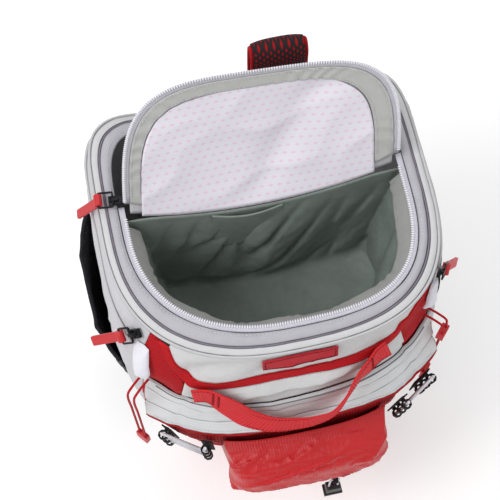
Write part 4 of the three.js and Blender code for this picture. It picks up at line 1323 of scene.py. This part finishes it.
@dataclass
class Front:
    """The upper front: its panels, red zip welt, ribbed flap, label and zip garages."""

    flap_foot: float = 335.0
    rib_pitch: float = 13.4
    rib: float = 1.3
    garage_top: float = 436.0

    def ribs(self, points: np.ndarray) -> np.ndarray:
        """Level grooves along the flap.

        Args:
            points: places in millimetres, one a row.

        Returns:
            The moved points.
        """
        phase = (points[:, 2] - self.flap_foot) / self.rib_pitch
        groove = np.exp(-(((phase - np.round(phase)) * self.rib_pitch / 1.5) ** 2))
        height = self.rib * (np.abs(np.sin(math.pi * phase)) ** 0.5 * 0.5 - groove)
        level = points[:, 2]
        held = eased(level, self.flap_foot + 3, self.flap_foot + 9) * eased(level, 371, 366)
        return outwards(points, height * held)

    def tuck(self, points: np.ndarray) -> np.ndarray:
        """Tucks the foot of the front panel in behind the flap.

        Args:
            points: places in millimetres, one a row.

        Returns:
            The moved points.
        """
        foot = eased(points[:, 2], 378, 373)
        moved = outwards(points, 1.0 * foot)
        moved[:, 2] -= 3.0 * foot
        return moved

    def shorter(self, points: np.ndarray) -> np.ndarray:
        """Draws the foot of a zip garage up.

        Args:
            points: places in millimetres, one a row.

        Returns:
            The moved points.
        """
        moved = points.copy()
        moved[:, 2] = self.garage_top + (points[:, 2] - self.garage_top) * 0.84
        return moved

    def build(self) -> None:
        """Makes the panels and what is sewn on them."""
        panel = soft("front_panel", PANEL_CLOTH, DRAPE, self.tuck)
        upper = soft("upper_front_panel", PANEL_CLOTH, DRAPE)
        soft("pocket_zip", WELT_CLOTH, DRAPE, proud(0.8))
        flap = soft("flap_band", FLAP_CLOTH, DRAPE, self.ribs)
        soft("flap_piping", RED_PIPING, DRAPE, levels=2)
        label = soft("label_patch", LABEL_CLOTH, DRAPE, proud(1.0))
        for hand in HANDS:
            soft(f"{hand}_zip_garage", GARAGE_CLOTH, self.shorter, DRAPE)
        wall = Wall(upper, panel)
        below = [wall.at(t, 404.0 if abs(t) < 34 else 405.0, 0.2) for t in turns(-33, 33, 60)]
        stitches("front_panel_seam", below, away_from_axis, THREAD)
        foot = Wall(flap)
        # A dark grey tube painted as the shadow line in the gap between the front panel and the flap.
        line = [foot.at(t, 370.5, -0.7) + Vector((0, 0, 1.9)) for t in turns(-47, 47, 100)]
        dress(tube("flap_top_seam_shadow", line, 0.9, 8), SEAM_SHADOW)
        stitches("flap_seam", [foot.at(t, self.flap_foot + 3, 0.2) for t in turns(-45, 45, 80)],
                 away_from_axis, THREAD)
        half, tall, middle = 30.0, 7.4, 432.0
        corners = [(-half, -tall), (half, -tall), (half, tall), (-half, tall), (-half, -tall)]
        edge = [(a[0] + (b[0] - a[0]) * k / 8, middle + a[1] + (b[1] - a[1]) * k / 8)
                for a, b in zip(corners, corners[1:]) for k in range(9)]
        border = Wall(label).seen_from_front(edge)
        stitches("label_stitching", border, away_from_axis, DARK_THREAD, length=1.8, pitch=2.3)


@dataclass
class Rim:
    """The padded rim, its bands and pipings, and the zip round the mouth."""

    wave: Crumple = Crumple(depth=0.5, size=55, seed=5)
    zip_turn: float = 97.0
    zip_end: float = 8.5
    tape: float = 6.0

    def waving(self, points: np.ndarray) -> np.ndarray:
        """A slight unevenness of the rim's height.

        Args:
            points: places in millimetres, one a row.

        Returns:
            The moved points.
        """
        around = around_axis(points) * MEAN_RADIUS
        moved = points.copy()
        moved[:, 2] += self.wave.at(around, np.linalg.norm(points[:, :2], axis=1)) - self.wave.depth / 2
        return moved

    def lengthen(self, points: np.ndarray) -> np.ndarray:
        """Brings both ends of the zip tape to the lid.

        Args:
            points: places in millimetres, one a row.

        Returns:
            The moved points.
        """
        turn = around_axis(points)
        past = np.clip((np.abs(turn) - math.radians(self.zip_turn - 5)) / math.radians(5), 0, 1)
        moved = points.copy()
        moved[:, 1] += past * self.zip_end
        return moved

    def gathers(self, points: np.ndarray) -> np.ndarray:
        """Small gathers of the facing below the zip.

        Args:
            points: places in millimetres, one a row.

        Returns:
            The moved points.
        """
        around = around_axis(points) * MEAN_RADIUS
        down = np.clip((RIM_HEIGHT - points[:, 2]) / 15, 0, 1)
        size = 0.35 + 0.25 * np.sin(around / 17)
        inwards = down * (size * np.sin(around / 3.1 + 2.5 * np.sin(around / 9.7)) - 0.5)
        return outwards(points, inwards)

    def build(self) -> None:
        """Makes the rim from the inside out."""
        soft("mouth_facing", FACING_CLOTH, self.gathers)
        soft("mouth_zip_tape", TAPE_CLOTH, self.lengthen, levels=2)
        soft("rim_band", RIM_CLOTH, self.waving, levels=2)
        soft("seam_piping", PLUM_CLOTH, levels=2)
        soft("edge_band", EDGE_CLOTH, self.waving, levels=2)
        soft("edge_piping", PIPING_CLOTH, levels=2)
        top = RIM_HEIGHT + 1.7
        coil = [MOUTH.at(t, top, 0.7 - self.tape) for t in turns(-self.zip_turn + 1, self.zip_turn - 1, 300)]
        teeth("mouth_coil", coil, straight_up)
        seam = [MOUTH.at(t, RIM_HEIGHT + 1.5, -1.6) for t in turns(-self.zip_turn, self.zip_turn, 240)]
        stitches("mouth_seam", seam, straight_up, THREAD)
        band = [MOUTH.at(t, RIM_HEIGHT + 2.9, 2.4) for t in turns(-125, 125, 300)]
        stitches("rim_seam", band, straight_up, THREAD)


@dataclass
class Compartment:
    """The top compartment's satin pouch and its small slit pocket."""

    depth: float = 150.0
    sharp: Crumple = Crumple(depth=4.6, size=64, seed=11, waves=5)
    small: Crumple = Crumple(depth=0.8, size=24, seed=12)

    def folds(self, points: np.ndarray) -> np.ndarray:
        """Slanting folds of the pouch, which grow below its edge and only press inwards.

        Args:
            points: places in millimetres, one a row.

        Returns:
            The moved points.
        """
        x, y, down = points[:, 0], points[:, 1], RIM_HEIGHT - points[:, 2]
        grown = np.clip((down - 14) / 45, 0, 1) * np.clip((self.depth - 1 - down) / 20, 0, 1)
        slant = x + 0.5 * y + 0.6 * down
        inwards = (self.sharp.at(slant, 0.8 * y - 0.3 * down) + self.small.at(slant, y + down) - 5.5) * grown
        middle = np.array([0.0, -48.0])
        spoke = points[:, :2] - middle
        heading = spoke / np.maximum(np.linalg.norm(spoke, axis=1, keepdims=True), 1.0)
        moved = points.copy()
        moved[:, :2] += heading * inwards[:, None]
        return moved

    def build(self) -> None:
        """Makes the pouch and its pocket."""
        soft("compartment_liner", SATIN, self.folds)
        soft("inner_pocket", SATIN)


@dataclass
class Lid:
    """The lid, folded back: printed lining, gathered border, zip and outer shell."""

    half_width: float = 115.0
    length: float = 137.0
    slant: float = 0.1
    taper: float = 0.05
    shift: float = 9.0
    dome: float = 9.0
    tape: float = 5.0
    border: float = 13.0
    hinge_back: float = 15.0
    hinge_bow: float = 7.0
    hinge_sag: float = 12.0
    corners: float = 4.0
    soft_folds: Crumple = Crumple(depth=1.0, size=90, seed=31, stretch=1.3)
    gather: float = 0.55
    drop: float = 7.0

    def on_lid(self, x: float, rise: float, behind: float) -> Vector:
        """A point of the lid.

        Args:
            x: how far it is across.
            rise: how far it is from the hinge.
            behind: how far it is towards the lid's outside.

        Returns:
            The point.
        """
        share = min(max((x + self.half_width) / (2 * self.half_width), 0), 1)
        along = rise * (1 - self.slant * share)
        fold = along / self.length
        folded = min(1, fold)
        middle = 1 - min(1, (x / self.half_width) ** 2)
        hinge = Vector((x, self.hinge_back - self.hinge_bow * middle, RIM_HEIGHT - self.hinge_sag * middle))
        dome = self.dome * math.sin(math.pi * folded) * (1 - (x / (self.half_width + self.tape)) ** 2)
        sunk = dome + behind
        lean, rise_of = math.sin(LID_LEAN), math.cos(LID_LEAN)
        y = hinge.y + (self.hinge_back - hinge.y) * folded + along * lean + sunk * rise_of
        z = hinge.z + (RIM_HEIGHT - hinge.z) * folded + 0.3 + along * rise_of - sunk * lean
        return Vector((x * (1 - self.taper * fold) + self.shift * fold, y, z))

    def edge(self, part: float, inset: float, behind: float) -> Vector:
        """A point of the lid's outline, from its left hinge end to its right one.

        Args:
            part: how far it is from the first to the last, from 0 to 1.
            inset: how far it is inside the outline.
            behind: how far it is towards the lid's outside.

        Returns:
            The point.
        """
        angle = math.pi * (0.005 + 0.99 * part)
        across = -math.copysign(abs(math.cos(angle)) ** (2 / self.corners), math.cos(angle))
        along = math.sin(angle) ** (2 / self.corners)
        aside = 3.5 * max(0.0, inset / self.border)
        return self.on_lid(across * (self.half_width - inset) - aside, along * (self.length - inset), behind)

    def facing(self, _: Vector) -> Vector:
        """The direction that the lining faces."""
        return Vector(LID_FACING)

    def along(self, points: np.ndarray) -> np.ndarray:
        """How far points are along the lid's slope."""
        return points[:, 2] * math.cos(LID_LEAN) + points[:, 1] * math.sin(LID_LEAN)

    def sag(self, points: np.ndarray) -> np.ndarray:
        """Shallow folds across the lid's cloth.

        Args:
            points: places in millimetres, one a row.

        Returns:
            The moved points.
        """
        along = self.along(points)
        along = along - along.min()
        held = np.clip(along / 30, 0, 1) * np.clip((self.length + 4 - along) / 30, 0, 1)
        held = held * np.clip((self.half_width - np.abs(points[:, 0])) / 25, 0, 1)
        fold = 3.4 * np.exp(-(((points[:, 0] - 22 - 0.55 * (along - 60)) / 17) ** 2)) * held
        depth = self.soft_folds.at(points[:, 0], along) * held - fold
        return points + np.array(LID_FACING) * depth[:, None]

    def reach(self, points: np.ndarray) -> np.ndarray:
        """Brings the ends of the border and zip down to the hinge.

        Args:
            points: places in millimetres, one a row.

        Returns:
            The moved points.
        """
        along = self.along(points) - RIM_HEIGHT * math.cos(LID_LEAN)
        low = np.clip((30 - along) / 25, 0, 1)
        plane = np.array([0.0, math.sin(LID_LEAN), math.cos(LID_LEAN)])
        return points - plane * (self.drop * low)[:, None]

    def gathers(self, points: np.ndarray) -> np.ndarray:
        """Gathers of the border tape round the corners.

        Args:
            points: places in millimetres, one a row.

        Returns:
            The moved points.
        """
        along = self.along(points)
        low = along.min()
        middle = low + 0.45 * (along.max() - low)
        around = np.arctan2(points[:, 0] - 5, along - middle) * 100
        waves = np.sin(around / 2.3 + 1.7 * np.sin(around / 13)) * (0.5 + 0.5 * np.sin(around / 29))
        return points + np.array(LID_FACING) * (self.gather * waves)[:, None]

    def build(self) -> None:
        """Makes the lid's layers, its zip and its seams."""
        soft("lid_lining", LINING_CLOTH, self.sag)
        soft("lid_border", BORDER_CLOTH, self.gathers, self.reach)
        soft("lid_shell", SHELL_CLOTH, self.sag)
        soft("lid_zip_tape", LID_TAPE_CLOTH, self.reach, levels=2)
        steps = [k / 320 for k in range(321)]
        teeth("lid_coil", [self.edge(p, 0.6 - self.tape, -0.8) for p in steps], self.facing)
        seam = [self.edge(p, self.border - 1.4, -1.6) for p in steps[2:-2]]
        stitches("lining_seam", seam, self.facing, THREAD)
        stitches("border_seam", [self.edge(p, 2.2, -1.6) for p in steps], self.facing, THREAD)


@dataclass
class HaulHandle:
    """The red webbing handle, sewn down at both ends and standing off the front in between."""

    width: float = 25.0
    thickness: float = 1.6
    steps: int = 90
    rows: tuple[tuple[float, float, float, float], ...] = (
        # x, y, z, lean
        (-93.5, -138.0, 401.4, 9), (-81.3, -140.9, 402.2, 9), (-71.5, -146.6, 397.4, 12),
        (-61.7, -152.8, 386.4, 16), (-49.0, -160.3, 372.1, 18), (-30.9, -166.4, 360.3, 14),
        (-11.8, -168.8, 354.8, 10), (5.9, -169.8, 354.8, 4), (23.6, -168.0, 363.4, -2),
        (37.0, -160.4, 377.7, -4), (48.9, -150.5, 393.5, 2), (59.4, -143.4, 401.4, 10),
        (69.4, -136.2, 404.5, 16), (78.2, -132.7, 406.1, 18),
    )

    def side_at(self, path: Sequence[Vector], i: int) -> Vector:
        """The direction across the webbing at a step of its path.

        Args:
            path: the points that it follows.
            i: the step.

        Returns:
            The direction.
        """
        place = i / self.steps * (len(self.rows) - 1)
        row = min(int(place), len(self.rows) - 2)
        lean = math.radians(self.rows[row][3] + (self.rows[row + 1][3] - self.rows[row][3]) * (place - row))
        inward = -Vector((path[i].x, path[i].y, 0)).normalized()
        return inward * math.sin(lean) + Vector((0, 0, math.cos(lean)))

    def build(self) -> None:
        """Makes the webbing and its bar tacks."""
        path = smooth_curve([Vector(row[:3]) for row in self.rows], self.steps)
        section = strip_section(self.width, self.thickness, 0.15)
        made = sweep("haul_handle_webbing", path, section, lambda i: self.side_at(path, i))
        dress(made, RED_WEBBING, "haul_handle")
        bars = []
        for first in (10, 13, self.steps - 12):
            side = self.side_at(path, first)
            outward = away_from_axis(path[first])
            row = [path[first] + side * (s * self.width * 0.42) + outward * 1.2 for s in (-1, 1)]
            bars += [bead(place, path[first + 1] - path[first], outward, 2.2, 0.8, 0.7)
                     for place, _ in even_steps(row, 1.0)]
        dress(joined("handle_bar_tacks", bars), RED_THREAD)
        rows = []
        for s in (-1, 1):
            rows += [bead(p + self.side_at(path, i) * (s * self.width * 0.42) + away_from_axis(p) * 0.95,
                          path[i + 1] - p, away_from_axis(p), 2.0, 0.5, 0.4)
                     for i, p in enumerate(path[:-1])]
        dress(joined("handle_edge_stitching", rows), RED_THREAD)


@dataclass
class FrontPocket:
    """The puffed red pocket on the lower front."""

    top: float = 303.0
    height: float = 125.0
    width: float = 162.0
    shift: float = 3.0
    rib_pitch: float = 6.0
    rib: float = 0.25
    seam: float = 66.0
    folds: Crumple = Crumple(depth=1.8, size=38, seed=43, stretch=3.0)
    creases: Crumple = Crumple(depth=0.5, size=15, seed=42, stretch=1.6)

    def box(self, points: np.ndarray) -> np.ndarray:
        """Squares the pocket up towards its foot.

        Args:
            points: places in millimetres, one a row.

        Returns:
            The moved points.
        """
        low = np.clip((self.top - points[:, 2]) / self.height, 0, 1)
        wall = np.clip((-points[:, 1] - 168) / 20, 0, 1)
        moved = points.copy()
        moved[:, 0] = self.shift + (points[:, 0] - self.shift) * (0.94 + 0.17 * low**0.7 * wall)
        return moved

    def folded(self, points: np.ndarray) -> np.ndarray:
        """The height of the coated cloth's folds, ribs and pressed seam.

        Args:
            points: places in millimetres, one a row.

        Returns:
            The heights in millimetres.
        """
        x, down, ahead = points[:, 0] - self.shift, self.top - points[:, 2], -165 - points[:, 1]
        wall = np.clip((ahead - 4) / 14, 0, 1)
        along = down + ahead
        out = self.folds.at(x, along + 0.12 * x) + self.creases.at(x, along)
        out += self.rib * np.abs(np.sin(math.pi * (x + 0.15 * along) / self.rib_pitch)) ** 0.6
        front = np.clip((down - 8) / 10, 0, 1)
        out -= 3.0 * np.exp(-(((down - self.seam) / 2.4) ** 2)) * front
        out += 1.8 * np.exp(-(((down - self.seam - 6) / 4.0) ** 2)) * front
        return out * wall

    def build(self) -> None:
        """Makes the pocket and its seam."""
        body = press(soft("front_pocket", POCKET_CLOTH, self.box, levels=4), self.folded)
        reach = self.width / 2 - 9
        level = self.top - self.seam - 5
        row = Wall(body).seen_from_front((x, level) for x in turns(self.shift - reach, self.shift + reach, 60))
        stitches("pocket_seam", row, lambda _: Vector((0, -1, 0)), RED_THREAD)


@dataclass
class SidePockets:
    """The net pockets low on both sides, with bound upper edges."""

    top: float = 300.0
    start: float = 67.1
    stop: float = 125.4

    def build(self) -> None:
        """Makes both pockets and their elastic edges."""
        for hand, sign in (("left", -1), ("right", 1)):
            net = soft(f"{hand}_side_pocket", SIDE_NET, DRAPE)
            wall = Wall(net)
            along = turns(self.start + 0.6, self.stop - 0.6, 60)
            path = [wall.at(sign * t, self.top - 1.5, -0.4) for t in along]
            dress(tube(f"{hand}_side_pocket_binding", path, 1.9), BLACK_WEBBING)


@dataclass
class Lacing:
    """White elastic laced through black webbing eyes at both ends of the pocket."""

    def build(self) -> None:
        """Makes the eyes and the laces."""
        for hand in HANDS:
            hard(f"{hand}_body_loops", LOOP_WEBBING, edge=0.3)
            hard(f"{hand}_pocket_loops", LOOP_WEBBING, edge=0.3)
            soft(f"{hand}_lacing", LACE_CORD, levels=2)


@dataclass
class ZipPulls:
    """Sliders with wire loops, and their folded red pulls."""

    names: tuple[str, ...] = ("lid", "left", "right")

    def build(self) -> None:
        """Makes the sliders and pulls."""
        for name in self.names:
            hard(f"{name}_slider", BLACK_METAL, edge=0.4)
            hard(f"{name}_pull", RED_RUBBER, edge=0.5)


@dataclass
class ShoulderStrap:
    """A padded shoulder strap covered in net, with rolled edges and red binding."""

    name: str
    hand: int
    low: Vector
    high: Vector
    droop: float
    spread: float = 41.0
    width: float = 53.0
    pad: float = 11.0
    steps: int = 130
    rows: tuple[tuple[float, float, float], ...] = (
        # z, off, spread
        (444.15, 0, 1), (462.15, 1.5, 1), (468, 7, 1), (462.15, 12.5, 1), (444.15, 14, 1),
        (379.8, 15, 1.02), (300.15, 16, 1.08), (220.05, 16, 1.18), (149.85, 14, 1.3),
    )

    def path(self) -> list[Vector]:
        """The middle line of the pad, from its root over the top and down.

        Returns:
            The points.
        """
        route = [self.low, self.high]
        for z, off, spread in self.rows:
            t = min(max((z - 300.15) / 144, 0), 1)
            drop = self.droop * t * t * (3 - 2 * t)
            route.append(Vector((self.hand * self.spread * spread, self.high.y + off, z - drop)))
        return smooth_curve(route, self.steps)

    def build(self) -> None:
        """Makes the pad, its edges and the webbing below it."""
        path = self.path()
        half, thick = self.width / 2, self.pad / 2
        rise = [(x * (half - 3), thick - 2.2 + 2.2 * (1 - abs(x) ** 3)) for x in
                (1, 0.9, 0.7, 0.45, 0.2, 0, -0.2, -0.45, -0.7, -0.9, -1)]
        section = [*rise, *[(-x, -y) for x, y in rise]]
        across = Vector((1, 0, 0))
        body = dress(sweep(f"{self.name}_pad", path, section, lambda _: across), STRAP_NET, self.name)
        for word, sign in (("inner", -1), ("outer", 1)):
            for part, inset, lift, radius, finish in (
                ("roll", 1.9, 0.0, 1.9, RED_PIPING), ("binding", 5.0, thick - 1.6, 1.3, LOOP_WEBBING),
            ):
                line = []
                for i, point in enumerate(path):
                    ahead = (path[min(i + 1, self.steps)] - path[max(i - 1, 0)]).normalized()
                    line.append(point + across * (sign * (half - inset)) + ahead.cross(across) * lift)
                dress(tube(f"{self.name}_{word}_{part}", line, radius, 8), finish)
        soft(f"{self.name}_web", LOOP_WEBBING, levels=2)


@dataclass
class Studio:
    """Camera, lights and floor."""

    place: Vector = field(default_factory=lambda: Vector((-0.10406, -0.41861, 1.47248)))
    azimuth: float = -12.1
    elevation: float = 69.1
    lens: float = 93.6

    def camera(self) -> None:
        """Sets the camera at the photograph's angle."""
        a, e = math.radians(self.azimuth), math.radians(self.elevation)
        back = Vector((math.sin(a) * math.cos(e), -math.cos(a) * math.cos(e), math.sin(e)))
        right = Vector((math.cos(a), math.sin(a), 0))
        up = back.cross(right)
        data = bpy.data.cameras.new("studio_camera")
        data.lens = self.lens
        data.sensor_width = 36
        made = placed("studio_camera", data)
        turned = Matrix((right, up, back)).transposed().to_4x4()
        turned.translation = self.place
        made.matrix_world = turned
        bpy.context.scene.camera = made

    def area(self, name: str, place: tuple[float, float, float], size: float, power: float) -> None:
        """Adds a soft square light that faces the bag.

        Args:
            name: its name.
            place: where it stands, in metres.
            size: its width in metres.
            power: its strength in watts.
        """
        data = bpy.data.lights.new(name, "AREA")
        data.size = size
        data.energy = power
        made = placed(name, data)
        made.location = place
        made.rotation_euler = (Vector((0, -0.05, 0.35)) - Vector(place)).to_track_quat("-Z", "Y").to_euler()

    def build(self) -> None:
        """Adds the floor, the lights and the pale surroundings."""
        half = 3.0
        mesh = bpy.data.meshes.new("studio_floor")
        corners = [(-half, -half, 0), (half, -half, 0), (half, half, 0), (-half, half, 0)]
        mesh.from_pydata(corners, [], [(0, 1, 2, 3)])
        floor = placed("studio_floor", mesh)
        shader = Shader("studio_floor_paint")
        mesh.materials.append(shader.finish(colour("fafafa"), 0.9, None, Emission_Strength=0.16))
        self.area("key_light", (-1.2, -0.3, 1.9), 0.9, 20)
        self.area("fill_light", (1.5, -0.9, 1.5), 1.6, 5)
        self.area("top_light", (0.3, 0.7, 2.3), 1.4, 10)
        world = bpy.data.worlds.new("studio_world")
        world.use_nodes = True
        world.node_tree.nodes["Background"].inputs[0].default_value = (1, 1, 1, 1)
        world.node_tree.nodes["Background"].inputs[1].default_value = 0.6
        bpy.context.scene.world = world
        bpy.context.scene.view_settings.view_transform = "Standard"


def main() -> None:
    """Builds the bag, one sub-assembly after another."""
    logging.basicConfig(level=logging.INFO, format="%(name)s %(message)s")
    studio = Studio()
    studio.camera()
    SideCord("left_cord", Vector((-129.76, -108.88, 388)), -50.1, ("left_cord_tab",)).build()
    threaded = ("right_cord_tab", "right_barrel_lock")
    SideCord("right_cord", Vector((121.29, -101.77, 388)), 48.0, threaded).build()
    CordLock().build()
    Body().build()
    Front().build()
    Rim().build()
    Compartment().build()
    Lid().build()
    HaulHandle().build()
    FrontPocket().build()
    SidePockets().build()
    Lacing().build()
    ZipPulls().build()
    ShoulderStrap("left_strap", -1, Vector((-41, 134.64, 305.05)), Vector((-41, 134.8, 321.82)), 68.0).build()
    ShoulderStrap("right_strap", 1, Vector((41, 134.31, 363.73)), Vector((41, 133.34, 380.49)), 0.0).build()
    studio.build()


if __name__ == "__main__":
    main()
